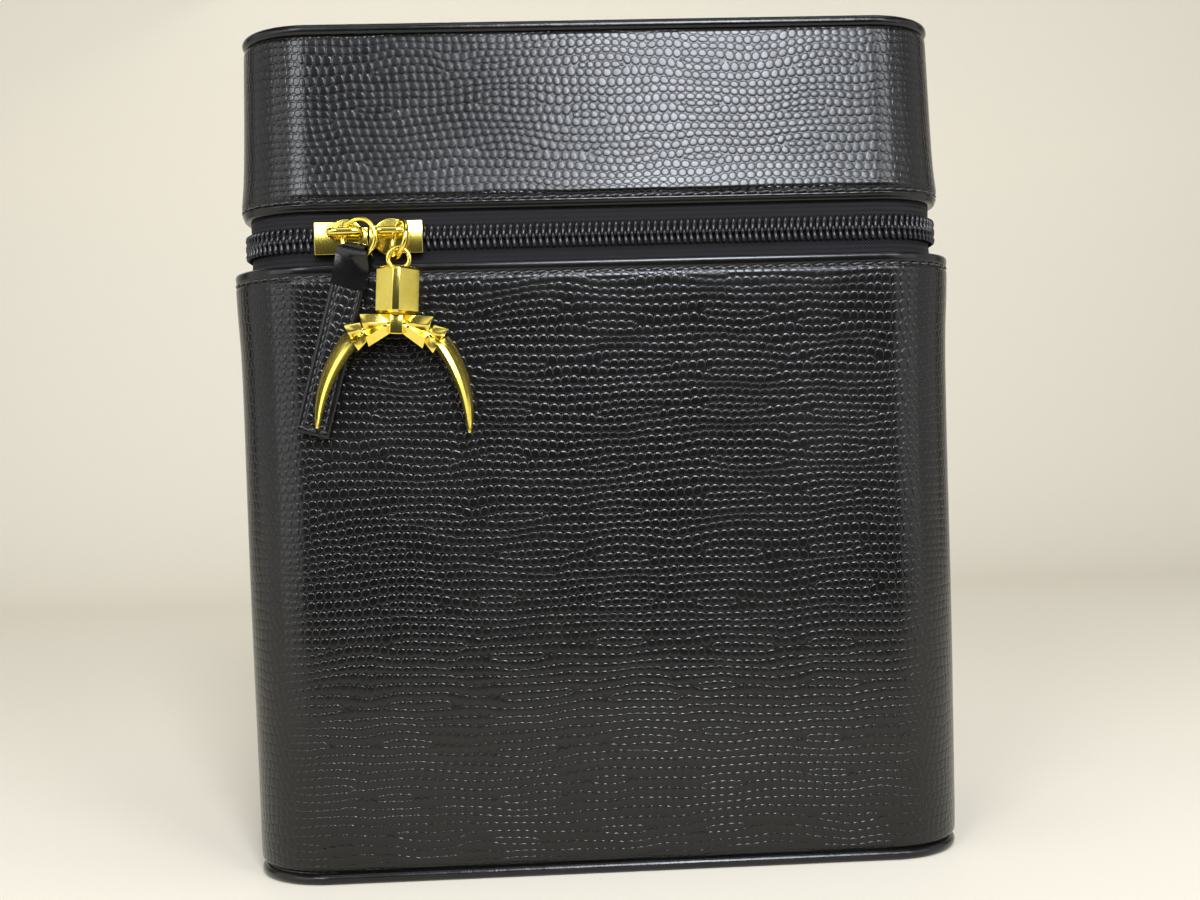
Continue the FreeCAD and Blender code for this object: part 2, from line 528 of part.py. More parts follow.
def slider(name, outer_end, facing):
    """Zip slider: two plates joined by a post, a lower lip that holds the chain, and a bridge.
    The upper side is open, so that the lid's half of the chain can leave it. facing is 1 where
    the inner end points to +X and -1 where it points to -X."""
    def along(formula):
        return outer_end + (" + " if facing > 0 else " - ") + "( " + formula + " )"

    def box(sketch, tag, near, far, low, high):
        ends = [along(near), along(far)][::facing]
        outline(sketch, tag, [(ends[0], low), (ends[1], low), (ends[1], high), (ends[0], high)])

    middle = ZIP_Z
    plate_back = "( case_depth / 2 - " + COIL + " + slider_running_gap )"
    tape_back = "( case_depth / 2 - " + TAPE_IN + " - slider_running_gap )"
    end_half = "( chain_gap / 2 + coil_width + slider_post_gap + slider_lip )"
    nose_half = "( slider_nose_height / 2 )"
    radius = end_half[:-1] + "+ slider_shoulder )"
    meets_end = "slider_dome - sqrt ( " + radius + " ^ 2 - " + end_half + " ^ 2 )"
    meets_nose = "slider_dome + sqrt ( " + radius + " ^ 2 - " + nose_half + " ^ 2 )"

    def plate_outline(sketch):
        first, second = (" - ", " + ")[::facing]
        corners = [("0", first + end_half), (meets_end, first + end_half, radius),
                   (meets_nose, first + nose_half), ("slider_length", first + nose_half),
                   ("slider_length", second + nose_half), (meets_nose, second + nose_half, radius),
                   (meets_end, second + end_half), ("0", second + end_half)]
        outline(sketch, "Plate", [(along(s), middle + half, *bend) for s, half, *bend in corners])

    body = new_body(name + "_body")
    front = new_sketch(body, name + "Front", "XZ_Plane", plate_back)
    plate_outline(front)
    pad(body, front, name + "FrontPlate", "slider_plate")
    post = new_sketch(body, name + "Post", "XZ_Plane", plate_back)
    half_post = "( chain_gap / 2 - slider_post_gap )"
    box(post, "Post", "slider_length - slider_post_length - slider_plate",
        "slider_length - slider_plate", middle + " - " + half_post, middle + " + " + half_post)
    pad(body, post, name + "PostPad", plate_back + " - " + tape_back).Reversed = True
    lip = new_sketch(body, name + "Lip", "XZ_Plane", plate_back)
    lip_foot = middle + " - " + end_half
    box(lip, "Lip", "0", "slider_dome", lip_foot, lip_foot + " + slider_lip")
    pad(body, lip, name + "LipPad", "coil_thickness").Reversed = True
    back = new_sketch(body, name + "Back", "XZ_Plane", tape_back)
    plate_outline(back)
    pad(body, back, name + "BackPlate", "slider_plate").Reversed = True
    doc.recompute()

    bridge = new_body(name + "_bridge")
    bar_z = middle + " + bridge_above_chain"
    plate_front = plate_back + " + slider_plate"
    legs = new_sketch(bridge, name + "Legs", "XZ_Plane", plate_front)
    spans = [("bridge_start", "bridge_start + bridge_leg"),
             ("bridge_start + bridge_length - bridge_leg", "bridge_start + bridge_length")]
    for number, (near, far) in enumerate(spans):
        box(legs, "Leg%d" % number, near, far, bar_z + " - bridge_radius", bar_z + " + bridge_radius")
    bar = new_sketch(bridge, name + "Bar", "YZ_Plane",
                     along("bridge_start") if facing > 0 else along("bridge_start + bridge_length"))
    round_hole(bar, "Bar", "- ( " + plate_front + " + bridge_rise )", bar_z, "bridge_radius")
    pad(bridge, bar, name + "BarPad", "bridge_length")
    pad(bridge, legs, name + "LegPad", "bridge_rise")


def bar_middle():
    """Depth and height of both bridges' round bars."""
    depth = -size("case_depth / 2 - " + COIL + " + slider_running_gap + slider_plate + bridge_rise")
    return depth, size(ZIP_Z + " + bridge_above_chain")


def ring_place(x, yaw, lean, back, drop):
    """Middle and turn of a pull ring whose middle hangs behind and below a bridge's bar."""
    bar_y, bar_z = bar_middle()
    leaning = FreeCAD.Rotation(V(1, 0, 0), -lean)
    middle = V(x, bar_y, bar_z) + leaning.multVec(V(0, back, -drop))
    edge_on = FreeCAD.Rotation(V(0, 0, 1), size(yaw) - 90)
    return FreeCAD.Placement(middle, leaning.multiply(edge_on))


def wire_loop(body, kind, name, radius):
    """Loop of wire round the body's own Y axis, added as a Revolution or cut as a Groove."""
    sketch = new_sketch(body, name + "Wire", "XY_Plane", "0")
    wire_section(sketch, radius, "0", "ring_wire")
    feature = body.newObject("PartDesign::" + kind, name)
    feature.Profile = sketch
    feature.ReferenceAxis = (datum(body, "Y_Axis"), [""])
    doc.recompute()


def ring(name, radius, place):
    body = new_body(name)
    wire_loop(body, "Revolution", name + "Loop", radius)
    body.Placement = place


def strap(place):
    """Folded plain loop on the ring, and the embossed tongue sewn between its plies. Drawn
    upright about the ring's wire, then hung at its tilt."""
    half = "( strap_thickness / 2 )"
    outer_half = "( strap_thickness / 2 + loop_slack + loop_ply )"
    slot_half = "( strap_thickness / 2 + loop_slack )"
    bend = "( loop_hole + loop_ply )"
    meets = "loop_offset - sqrt ( " + bend + " ^ 2 - " + outer_half + " ^ 2 )"
    tongue_top = "( loop_offset - loop_hole - loop_ply )"

    loop = new_body("strap_loop")
    side = new_sketch(loop, "LoopSide", "YZ_Plane", "0")
    outline(side, "Fold", [("- " + outer_half, "- loop_length"), (outer_half, "- loop_length"),
                           (outer_half, meets, bend), ("0", "loop_offset + " + bend, bend),
                           ("- " + outer_half, meets)])
    round_hole(side, "Eye", "0", "loop_offset", "loop_hole")
    pad(loop, side, "LoopPad", "loop_width", midplane=True)
    slot = new_sketch(loop, "LoopSlot", "YZ_Plane", "0")
    outline(slot, "Slot", [("- " + slot_half, "- loop_length"), (slot_half, "- loop_length"),
                           (slot_half, tongue_top), ("- " + slot_half, tongue_top)])
    pocket(loop, slot, "LoopSlotCut", "2 * loop_width", midplane=True)
    taper = new_sketch(loop, "LoopTaper", "XZ_Plane", "0")
    top = "( loop_offset + " + bend + " )"
    wide, narrow = "( loop_width / 2 )", "( loop_top_width / 2 )"
    waist = "- loop_length / 2"
    outline(taper, "Right", [(wide, waist), (wide, top), (narrow, top), (narrow, "- loop_hole")])
    outline(taper, "Left", [("- " + wide, waist), ("- " + narrow, "- loop_hole"),
                            ("- " + narrow, top), ("- " + wide, top)])
    pocket(loop, taper, "LoopTaperCut", "4 * loop_width", midplane=True)

    tongue = new_body("strap_tongue")
    face = new_sketch(tongue, "TonguePlan", "XZ_Plane", "0")
    x = "( strap_width / 2 )"
    corner = "strap_end_round"
    outline(face, "Tongue", [("- " + x + " + " + corner, "- strap_length"),
                             (x + " - " + corner, "- strap_length", corner),
                             (x, "- strap_length + " + corner), (x, tongue_top),
                             ("- " + x, tongue_top),
                             ("- " + x, "- strap_length + " + corner, corner)])
    pad(tongue, face, "TonguePad", "2 * " + half, midplane=True)
    for piece in (loop, tongue):
        piece.Placement = place


def folded(sketch, width, ridge_share, valley_share):
    """Collar section, folded as a bow is: two ridges and a valley at the front and at the back."""
    half = "( " + width + " / 2 )"
    deep = half + " * collar_depth_ratio"
    ridge, valley = half + " * " + ridge_share, deep + " * " + valley_share
    side = deep + " * collar_side_ratio"
    outline(sketch, "Fold", [("0", "- " + valley), (ridge, "- " + deep), (half, "- " + side), (half, side),
                             (ridge, deep), ("0", valley), ("- " + ridge, deep), ("- " + half, side),
                             ("- " + half, "- " + side), ("- " + ridge, "- " + deep)])


def turned_sketch(body, name, point, angle):
    """Sketch across the charm's curve: its first axis lies in the charm's own plane, its second
    points to the back, and its normal runs out along the curve."""
    sketch = body.newObject("Sketcher::SketchObject", name)
    sketch.AttachmentSupport = (datum(body, "YZ_Plane"), [""])
    sketch.MapMode = "FlatFace"
    onto_curve = FreeCAD.Rotation(V(0, 1, 0), angle)
    upright = FreeCAD.Rotation(V(0, 0, -1), V(0, 1, 0), V(1, 0, 0), "XYZ")
    own = FreeCAD.Rotation(V(0, 1, 0), V(0, 0, 1), V(1, 0, 0), "XYZ")
    sketch.AttachmentOffset = FreeCAD.Placement(
        own.inverted().multVec(point), own.inverted().multiply(onto_curve.multiply(upright)))
    return sketch


def charm(place):
    """Double-horn charm: an eye let into a faceted cap, a neck, and on each side two faceted
    collars and a curved, grooved horn. Drawn about the eye's middle, then hung at its tilt."""
    cap_top = "( eye_sink - eye_radius - ring_wire / 2 )"
    cap_foot = cap_top[:-1] + "- cap_height )"

    ring("charm_eye", "eye_radius", place)

    cap = new_body("charm_cap")
    plan = new_sketch(cap, "CapPlan", "XY_Plane", cap_foot)
    octagon(plan, "0", "0", "( cap_width / 2 )", "( cap_facet / 2 )")
    pad(cap, plan, "CapPad", "cap_height")
    bevel_edges(cap, "CapBevel", "cap_bevel", lambda edge: edge.BoundBox.ZLength < edge.Length / 2)
    wire_loop(cap, "Groove", "CapSocket", "eye_radius")

    yoke = new_body("charm_yoke")
    side = new_sketch(yoke, "YokePlan", "XY_Plane", cap_foot)
    half, deep = "( yoke_width / 2 )", "( yoke_depth / 2 )"
    outline(side, "Neck", [("- " + half, "- " + deep), (half, "- " + deep), (half, deep),
                           ("- " + half, deep)])
    neck = pad(yoke, side, "YokePad", "yoke_height")
    neck.Reversed = True
    doc.recompute()

    collar_z = size(cap_foot) - size("yoke_height") / 2
    horns = [horn("right_horn", collar_z, 1), horn("left_horn", collar_z, -1)]
    for piece in [cap, yoke] + horns:
        piece.Placement = place


def horn(name, start_z, hand):
    """One side of the charm, cast in one: two folded collars that flare outwards, then the horn,
    which has two ridges with a groove between them and tapers along an arc to a blunt tip."""
    body = new_body(name)

    def across(label, point, slope):
        angle = slope if hand > 0 else 180 - slope
        return turned_sketch(body, name + label, V(hand * point.x, 0, point.z), angle)

    def step(point, slope, length):
        angle = math.radians(slope)
        return point + V(math.cos(angle), 0, -math.sin(angle)) * length

    def collar(label, start, end, slope, narrow, wide):
        seat = 0 if label == "Inner" else slope
        sketches = [across(label + "Narrow", start, seat), across(label + "Wide", end, slope)]
        folded(sketches[0], narrow, "fold_root_ratio", "1")
        folded(sketches[1], wide, "fold_width_ratio", "fold_depth_ratio")
        feature = body.newObject("PartDesign::AdditiveLoft", name + label)
        feature.Profile = sketches[0]
        feature.Sections = [sketches[1]]
        feature.Ruled = True
        doc.recompute()

    root = V(size("yoke_width / 2"), 0, start_z)
    inner_slope, outer_slope = size("collar_slope"), size("tip_collar_slope")
    waist = step(root, inner_slope, size("collar_length"))
    mouth = step(waist, outer_slope, size("tip_collar_length"))
    collar("Inner", root, waist, inner_slope, "( yoke_height - 2 * layer_gap )", "collar_flare")
    collar("Outer", waist, mouth, outer_slope, "tip_collar_width", "tip_collar_flare")

    sweep, bend = size("horn_sweep"), size("horn_bend")
    first = math.radians(sweep)
    centre = mouth - V(math.cos(first), 0, math.sin(first)) * bend
    sketches = []
    stations = 5
    for number in range(stations):
        share = number / (stations - 1)
        angle = math.radians(sweep * (1 - share))
        point = centre + V(math.cos(angle), 0, math.sin(angle)) * bend
        sketch = across("Horn%d" % number, point, 90 - math.degrees(angle))
        width = "( horn_root - ( horn_root - horn_tip ) * %s )" % (share ** 2)
        horn_section(sketch, width)
        sketches.append(sketch)
    feature = body.newObject("PartDesign::AdditiveLoft", name + "Blade")
    feature.Profile = sketches[0]
    feature.Sections = sketches[1:]
    doc.recompute()
    return body


def horn_section(sketch, width):
    """Six-sided section with two ridges at the front and a groove between them."""
    half = "( " + width + " / 2 )"
    ridge, groove, back = half + " * 0.9", half + " * 0.62", half + " * 0.8"
    outline(sketch, "Horn", [("0", "- " + groove), (half + " * 0.5", "- " + ridge), (half, "0"),
                             ("0", back), ("- " + half, "0"), ("- " + half + " * 0.5", "- " + ridge)])


base()
body_wall()
lid_wall()
lid_top()
lid_mirror()
zip_chain()
hinge_strip()

strap_end = "( corner_radius + slider_corner_gap - case_width / 2 )"
charm_end = strap_end[:-1] + "+ 2 * slider_length + slider_gap )"
slider("strap_slider", strap_end, 1)
slider("charm_slider", charm_end, -1)

strap_ring_x = size(strap_end + " + bridge_start + bridge_length + strap_ring_offset - ring_radius")
charm_ring_x = size(charm_end + " - bridge_start - bridge_length + charm_ring_offset")
wire_to_bar = size("bridge_radius + ring_wire / 2 + ring_gap")
strap_drop = size("ring_radius - strap_ring_rise")
turned = math.radians(size("strap_ring_yaw"))
limb = math.sqrt(size("ring_radius") ** 2 - strap_drop ** 2) * math.cos(turned)
strap_hang = ring_place(strap_ring_x, "strap_ring_yaw", 0, wire_to_bar - limb, strap_drop)
charm_drop = size("ring_radius") - wire_to_bar
charm_hang = ring_place(charm_ring_x, "charm_ring_yaw", size("charm_ring_lean"), 0, charm_drop)
ring("strap_ring", "ring_radius", strap_hang)
ring("charm_ring", "ring_radius", charm_hang)

lowest = math.radians(size("strap_tilt"))
across_ring = V(math.sin(turned), -math.cos(turned), 0)
strap_point = (strap_hang.Base - across_ring * size("ring_radius") * math.sin(lowest)
               - V(0, 0, size("ring_radius") * math.cos(lowest)))
strap(FreeCAD.Placement(strap_point, FreeCAD.Rotation(V(0, 1, 0), size("strap_tilt"))))

lean = FreeCAD.Rotation(V(1, 0, 0), -size("charm_ring_lean"))
ring_foot = charm_hang.Base + lean.multVec(V(0, 0, -size("ring_radius")))
across_corners = size("ring_wire") / math.cos(math.pi / 8)
wire_to_wire = (across_corners + size("eye_gap")) / math.cos(math.radians(size("charm_ring_lean")))
eye_middle = ring_foot + V(0, 0, wire_to_wire - size("eye_radius"))
charm(FreeCAD.Placement(eye_middle, FreeCAD.Rotation(V(0, 1, 0), size("charm_tilt"))))

doc.recompute()
pieces = [item for item in doc.Objects if item.TypeId == "PartDesign::Body"]
for item in doc.Objects:
    if "Invalid" in item.State or "Error" in item.State:
        raise RuntimeError(item.Label + " failed: " + str(item.State))
for piece in pieces:
    if piece.Shape.isNull() or not piece.Shape.isValid() or len(piece.Shape.Solids) != 1:
        raise RuntimeError(piece.Label + " is not one sound solid")

os.makedirs("parts", exist_ok=True)
for piece in pieces:
    piece.Shape.exportStep("parts/%s.step" % piece.Label)
print("pieces:", len(pieces))
print("strap ring at", strap_hang.Base, "strap hangs at", strap_point)
print("charm ring at", charm_hang.Base, "charm hangs at", eye_middle, "bar at", bar_middle())
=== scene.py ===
import json
import math

import bmesh
import bpy
from mathutils import Matrix, Vector


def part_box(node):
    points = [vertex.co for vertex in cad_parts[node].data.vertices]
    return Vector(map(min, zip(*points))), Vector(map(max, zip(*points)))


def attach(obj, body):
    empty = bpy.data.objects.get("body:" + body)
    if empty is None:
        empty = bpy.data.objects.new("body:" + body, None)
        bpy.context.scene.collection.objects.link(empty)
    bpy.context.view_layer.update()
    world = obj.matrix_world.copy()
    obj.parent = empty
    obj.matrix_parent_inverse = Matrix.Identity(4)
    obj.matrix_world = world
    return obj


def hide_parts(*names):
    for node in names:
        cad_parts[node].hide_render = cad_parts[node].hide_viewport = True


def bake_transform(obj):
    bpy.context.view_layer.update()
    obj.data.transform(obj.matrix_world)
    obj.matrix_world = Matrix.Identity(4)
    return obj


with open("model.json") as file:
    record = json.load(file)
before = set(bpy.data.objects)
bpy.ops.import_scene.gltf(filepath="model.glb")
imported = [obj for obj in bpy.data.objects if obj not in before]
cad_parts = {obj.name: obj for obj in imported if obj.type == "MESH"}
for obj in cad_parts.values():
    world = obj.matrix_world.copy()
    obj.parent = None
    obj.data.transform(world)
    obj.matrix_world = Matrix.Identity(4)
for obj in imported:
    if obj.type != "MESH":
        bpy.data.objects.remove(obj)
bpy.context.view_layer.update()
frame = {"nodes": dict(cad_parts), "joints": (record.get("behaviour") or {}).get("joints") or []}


# Base: a leather panel on a stiff board, sewn to the wall with a corded seam.
# The cord is smooth leather wrapped round a string and runs once round the foot;
# its ends meet at the middle of the back. The lining lies on the board inside.
MM = 0.001
wall_low, wall_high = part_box("body_cover")
half_width, half_depth = wall_high[0], wall_high[1]
corner_radius = 19.5 * MM
run_across = 2 * (half_width - corner_radius)
run_deep = 2 * (half_depth - corner_radius)
quarter_turn = corner_radius * math.pi / 2
side_runs = [run_across / 2, run_deep, run_across, run_deep, run_across / 2]
case_girth = 2 * (run_across + run_deep) + 4 * quarter_turn


def plan_point(s):
    """Place and outward normal on the plan of the body's top edge, s metres from the middle of
    the back and turning left: back, left side, front, right side, back."""
    s = s % case_girth
    starts = [(0, half_depth), (-half_width, half_depth - corner_radius),
              (corner_radius - half_width, -half_depth), (half_width, corner_radius - half_depth),
              (half_width - corner_radius, half_depth)]
    for side, straight in enumerate(side_runs):
        heading = math.pi + side * math.pi / 2
        ahead = Vector((math.cos(heading), math.sin(heading)))
        outward = Vector((ahead.y, -ahead.x))
        if s <= straight or side == 4:
            return Vector(starts[side]) + ahead * s, outward
        s -= straight
        if s <= quarter_turn:
            turn = s / corner_radius
            centre = Vector(starts[side]) + ahead * straight - outward * corner_radius
            spoke = outward * math.cos(turn) + ahead * math.sin(turn)
            return centre + spoke * corner_radius, spoke
        s -= quarter_turn


def stations(start, end, straight_step, corner_step):
    """Distances along the plan, closer together round the corners and by the two ends."""
    stretches = []
    for straight in side_runs:
        stretches += [(straight, straight_step), (quarter_turn, corner_step)]
    marks = [0.0]
    for length, step in stretches[:-1]:
        count = max(1, round(length / step))
        marks += [marks[-1] + length / count * (n + 1) for n in range(count)]
    by_seam = [0.25 * MM, 0.55 * MM, 0.9 * MM]
    clear = by_seam[-1] + 1e-6
    inside = [mark for mark in marks if start + clear < mark < end - clear]
    return ([start] + [start + gap for gap in by_seam] + inside
            + [end - gap for gap in by_seam[::-1]] + [end])


def in_scene(name, data):
    holder = bpy.data.objects.new(name, data)
    bpy.context.collection.objects.link(holder)
    return holder


def finished(name, mesh, crease=50):
    """Object from a bmesh: faces outwards, and smooth but for edges sharper than crease degrees."""
    bmesh.ops.recalc_face_normals(mesh, faces=mesh.faces)
    data = bpy.data.meshes.new(name)
    mesh.to_mesh(data)
    mesh.free()
    data.shade_smooth()
    data.set_sharp_from_angle(angle=math.radians(crease))
    return in_scene(name, data)


def loft(mesh, rings):
    """Skin over rings of points, closed by a cap at each end."""
    for low, high in zip(rings, rings[1:]):
        for n in range(len(low)):
            m = (n + 1) % len(low)
            mesh.faces.new((low[n], low[m], high[m], high[n]))
    mesh.faces.new(rings[0][::-1])
    mesh.faces.new(rings[-1])


def wrapped_strip(name, profile, start, end, straight_step=3 * MM, corner_step=1.6 * MM, shape=None,
                  plain_from=1.0):
    """Sheet or band bent round the case. profile is a closed loop of (inset, height, run) points;
    run is the distance across the hide. The attribute hide keeps the distances along and across
    it, and 1 where the hide is embossed: from plain_from on, it is plain. shape moves a point by
    its (s, run, inset, height)."""
    mesh = bmesh.new()
    hide = mesh.verts.layers.float_vector.new("hide")
    rings = []
    for s in stations(start, end, straight_step, corner_step):
        place, outward = plan_point(s)
        ring = []
        for inset, height, run in profile:
            if shape:
                inset, height = shape(s, run, inset, height)
            at = place - outward * inset
            point = mesh.verts.new((at.x, at.y, height))
            point[hide] = (s, run, 1.0 if run < plain_from else 0.0)
            ring.append(point)
        rings.append(ring)
    loft(mesh, rings)
    return finished(name, mesh)


def put_on(data, material):
    data.materials.clear()
    data.materials.append(material)


def dress(piece, material, body, slot, *replaced):
    """Finish a piece: one material, the body that it moves with, and what it stands for."""
    put_on(piece.data, material)
    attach(piece, body)
    if replaced:
        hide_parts(*replaced)


def new_material(name):
    material = bpy.data.materials.new(name)
    material.use_nodes = True
    return material, material.node_tree, material.node_tree.nodes["Principled BSDF"]


def feed(node, values):
    """Give each named input of a node its value, or a link from another node's output."""
    for name, value in values.items():
        if isinstance(value, bpy.types.NodeSocket):
            node.id_data.links.new(value, node.inputs[name])
        else:
            node.inputs[name].default_value = value


def math_node(tree, operation, *values):
    node = tree.nodes.new("ShaderNodeMath")
    node.operation = operation
    feed(node, dict(enumerate(values)))
    return node.outputs[0]


def noise_node(tree, vector, scale, detail=2.0, roughness=0.5):
    node = tree.nodes.new("ShaderNodeTexNoise")
    feed(node, {"Vector": vector, "Scale": scale, "Detail": detail, "Roughness": roughness})
    return node.outputs["Fac"]


def ramp_node(tree, factor, low, high, from_low=0.0, from_high=1.0, kind="LINEAR"):
    node = tree.nodes.new("ShaderNodeMapRange")
    node.interpolation_type = kind
    feed(node, {"Value": factor, "From Min": from_low, "From Max": from_high, "To Min": low, "To Max": high})
    return node.outputs[0]


def mix_colours(tree, factor, low, high):
    node = tree.nodes.new("ShaderNodeMix")
    node.data_type = "RGBA"
    low, high = (value if isinstance(value, bpy.types.NodeSocket) else (*value, 1) for value in (low, high))
    feed(node, {"Factor": factor, 6: low, 7: high})
    return node.outputs[2]


def bump_node(tree, height, distance):
    node = tree.nodes.new("ShaderNodeBump")
    feed(node, {"Strength": 1.0, "Distance": distance, "Height": height})
    return node.outputs["Normal"]


def object_coordinates(tree):
    return tree.nodes.new("ShaderNodeTexCoord").outputs["Object"]


def hide_coordinates(tree):
    node = tree.nodes.new("ShaderNodeAttribute")
    node.attribute_name = "hide"
    return node.outputs["Vector"]


def parts_of(tree, vector):
    node = tree.nodes.new("ShaderNodeSeparateXYZ")
    feed(node, {0: vector})
    return node.outputs


def vector_of(tree, *values):
    node = tree.nodes.new("ShaderNodeCombineXYZ")
    feed(node, dict(enumerate(values)))
    return node.outputs[0]


def smooth_leather_material():
    """Plain black calf: fine pores, faint creases and a soft polish."""
    material, tree, shader = new_material("smooth_leather")
    place = object_coordinates(tree)
    pores = tree.nodes.new("ShaderNodeTexVoronoi")
    feed(pores, {"Vector": place, "Scale": 2600})
    creases = noise_node(tree, place, 420, 4.0, 0.6)
    grain = math_node(tree, "MULTIPLY_ADD", pores.outputs["Distance"], 0.45, creases)
    wear = ramp_node(tree, noise_node(tree, place, 70, 3.0), 0.0, 1.0, 0.35, 0.7)
    feed(shader, {
        "Base Color": mix_colours(tree, wear, (0.0032, 0.0030, 0.0029), (0.0058, 0.0054, 0.0051)),
        "Roughness": ramp_node(tree, wear, 0.17, 0.25),
        "Normal": bump_node(tree, grain, 0.03 * MM),
        "Specular IOR Level": 0.4})
    return material


smooth_leather = smooth_leather_material()
seam_break = 0.02 * MM


def corded_seam(name, node, body):
    """Leather cord round the case, with the small gathers that a sewn cord shows along it."""
    low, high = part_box(node)
    radius, middle = (high[2] - low[2]) / 2, (high[2] + low[2]) / 2
    centre = half_width - high[0] + radius
    sides = 14
    angles = [2 * math.pi * n / sides for n in range(sides)]
    section = [(centre - radius * math.cos(angle), middle + radius * math.sin(angle), radius * angle)
               for angle in angles]
    gather_depth, gather_period = 0.02 * MM, 2.3 * MM

    def gathered(s, run, inset, height):
        wave = 2 * math.pi * s / gather_period
        gather = math.sin(wave) + 0.6 * math.sin(wave / 2.7) + 0.5 * math.sin(wave / 7.9 + run / MM)
        return inset + gather_depth * gather, height

    cord = wrapped_strip(name, section, seam_break, case_girth - seam_break, 1.2 * MM, 0.9 * MM, gathered)
    dress(cord, smooth_leather, body, "smooth_leather", node)


corded_seam("base_cord", "base_piping", "case")


def lizard_emboss_group():
    """Flat beads in wavy rows that part and join, as pressed into a lizard-grain hide.
    Vector is in metres, with the rows running along its first part."""
    group = bpy.data.node_groups.new("lizard_emboss", "ShaderNodeTree")
    group.interface.new_socket("Vector", in_out="INPUT", socket_type="NodeSocketVector")
    for name, value in (("Row Pitch", 2.06 * MM), ("Scale Width", 1.98 * MM)):
        socket = group.interface.new_socket(name, in_out="INPUT", socket_type="NodeSocketFloat")
        socket.default_value = value
    for name in ("Height", "Groove", "Chance"):
        group.interface.new_socket(name, in_out="OUTPUT", socket_type="NodeSocketFloat")
    inside = group.nodes.new("NodeGroupInput")
    out = group.nodes.new("NodeGroupOutput")

    def op(operation, *values):
        return math_node(group, operation, *values)

    def eased(value, low, high):
        return ramp_node(group, value, 0.0, 1.0, low, high, "SMOOTHSTEP")

    def cells(feature, place):
        node = group.nodes.new("ShaderNodeTexVoronoi")
        node.voronoi_dimensions = "2D"
        node.feature = feature
        feed(node, {"Vector": place, "Scale": 1.0, "Randomness": 0.4})
        return node.outputs

    # Level counts the rows; two noises make them wave.
    x, y = parts_of(group, inside.outputs["Vector"])[:2]
    flat = vector_of(group, x, y)
    along = op("DIVIDE", x, inside.outputs["Scale Width"])
    level = op("DIVIDE", y, inside.outputs["Row Pitch"])
    for waves_per_metre, rows_high in ((22, 3.0), (85, 0.9)):
        level = op("MULTIPLY_ADD", noise_node(group, flat, waves_per_metre, 1.0), rows_high, level)

    # In the middle of each patch one more row is let in between two forks.
    cell_length, cell_rows, taper = 12.0, 5.0, 1.8
    shortest, longer_by = 1.8, 2.4
    patch = vector_of(group, op("DIVIDE", along, cell_length), op("DIVIDE", level, cell_rows))
    cell = cells("F1", patch)
    centre = parts_of(group, cell["Position"])
    from_middle = op("SUBTRACT", along, op("MULTIPLY", centre[0], cell_length))
    middle_row = op("FLOOR", op("MULTIPLY", centre[1], cell_rows))
    above = op("SUBTRACT", level, middle_row)
    half_length = op("MULTIPLY_ADD", parts_of(group, cell["Color"])[0], longer_by, shortest)
    first_fork = op("ARCTAN2", above, op("DIVIDE", op("ADD", from_middle, half_length), taper))
    last_fork = op("ARCTAN2", above, op("DIVIDE", op("SUBTRACT", from_middle, half_length), taper))
    extra_row = op("DIVIDE", op("SUBTRACT", first_fork, last_fork), 2 * math.pi)
    reach = eased(cells("DISTANCE_TO_EDGE", patch)["Distance"], 0.02, 0.10)
    level = op("MULTIPLY_ADD", extra_row, reach, level)

    # Each row has its own start and stretch, so that its beads don't stand in columns.
    row, up = op("FLOOR", level), op("FRACT", level)
    new_row = op("SUBTRACT", middle_row, 0.5)
    low_row, high_row = op("MINIMUM", row, new_row), op("MAXIMUM", row, new_row)
    row = op("MULTIPLY_ADD", op("GREATER_THAN", above, 0.0), op("SUBTRACT", high_row, low_row), low_row)
    shift = group.nodes.new("ShaderNodeTexWhiteNoise")
    shift.noise_dimensions = "1D"
    feed(shift, {"W": row})
    drift = vector_of(group, op("MULTIPLY", along, 0.21), op("MULTIPLY", row, 7.3))
    stretch = noise_node(group, drift, 1.0, 1.0)
    along = op("ADD", op("MULTIPLY_ADD", stretch, 0.9, along), shift.outputs["Value"])
    column, over = op("FLOOR", along), op("FRACT", along)
    chance = group.nodes.new("ShaderNodeTexWhiteNoise")
    chance.noise_dimensions = "2D"
    feed(chance, {"Vector": vector_of(group, column, row)})

    # A bead is a low dome on a rounded oblong; edge is 0 at its middle and 1 at its outline.
    reach_aside, reach_apart, least_height, dome_fall = 1.01, 1.08, 0.88, 0.30
    aside = op("ABSOLUTE", op("MULTIPLY_ADD", over, 2 * reach_aside, -reach_aside))
    apart = op("ABSOLUTE", op("MULTIPLY_ADD", up, 2 * reach_apart, -reach_apart))
    edge = op("ADD", op("POWER", aside, 2.5), op("POWER", apart, 2.2))
    size = op("MULTIPLY_ADD", chance.outputs["Value"], 1 - least_height, least_height)
    dome = op("MULTIPLY_ADD", edge, -dome_fall, size)
    fallen = eased(edge, 0.56, 1.14)
    feed(out, {"Height": op("MULTIPLY", op("SUBTRACT", 1.0, fallen), dome),
               "Groove": eased(edge, 0.85, 1.25), "Chance": chance.outputs["Value"]})
    return group


lizard_emboss = lizard_emboss_group()


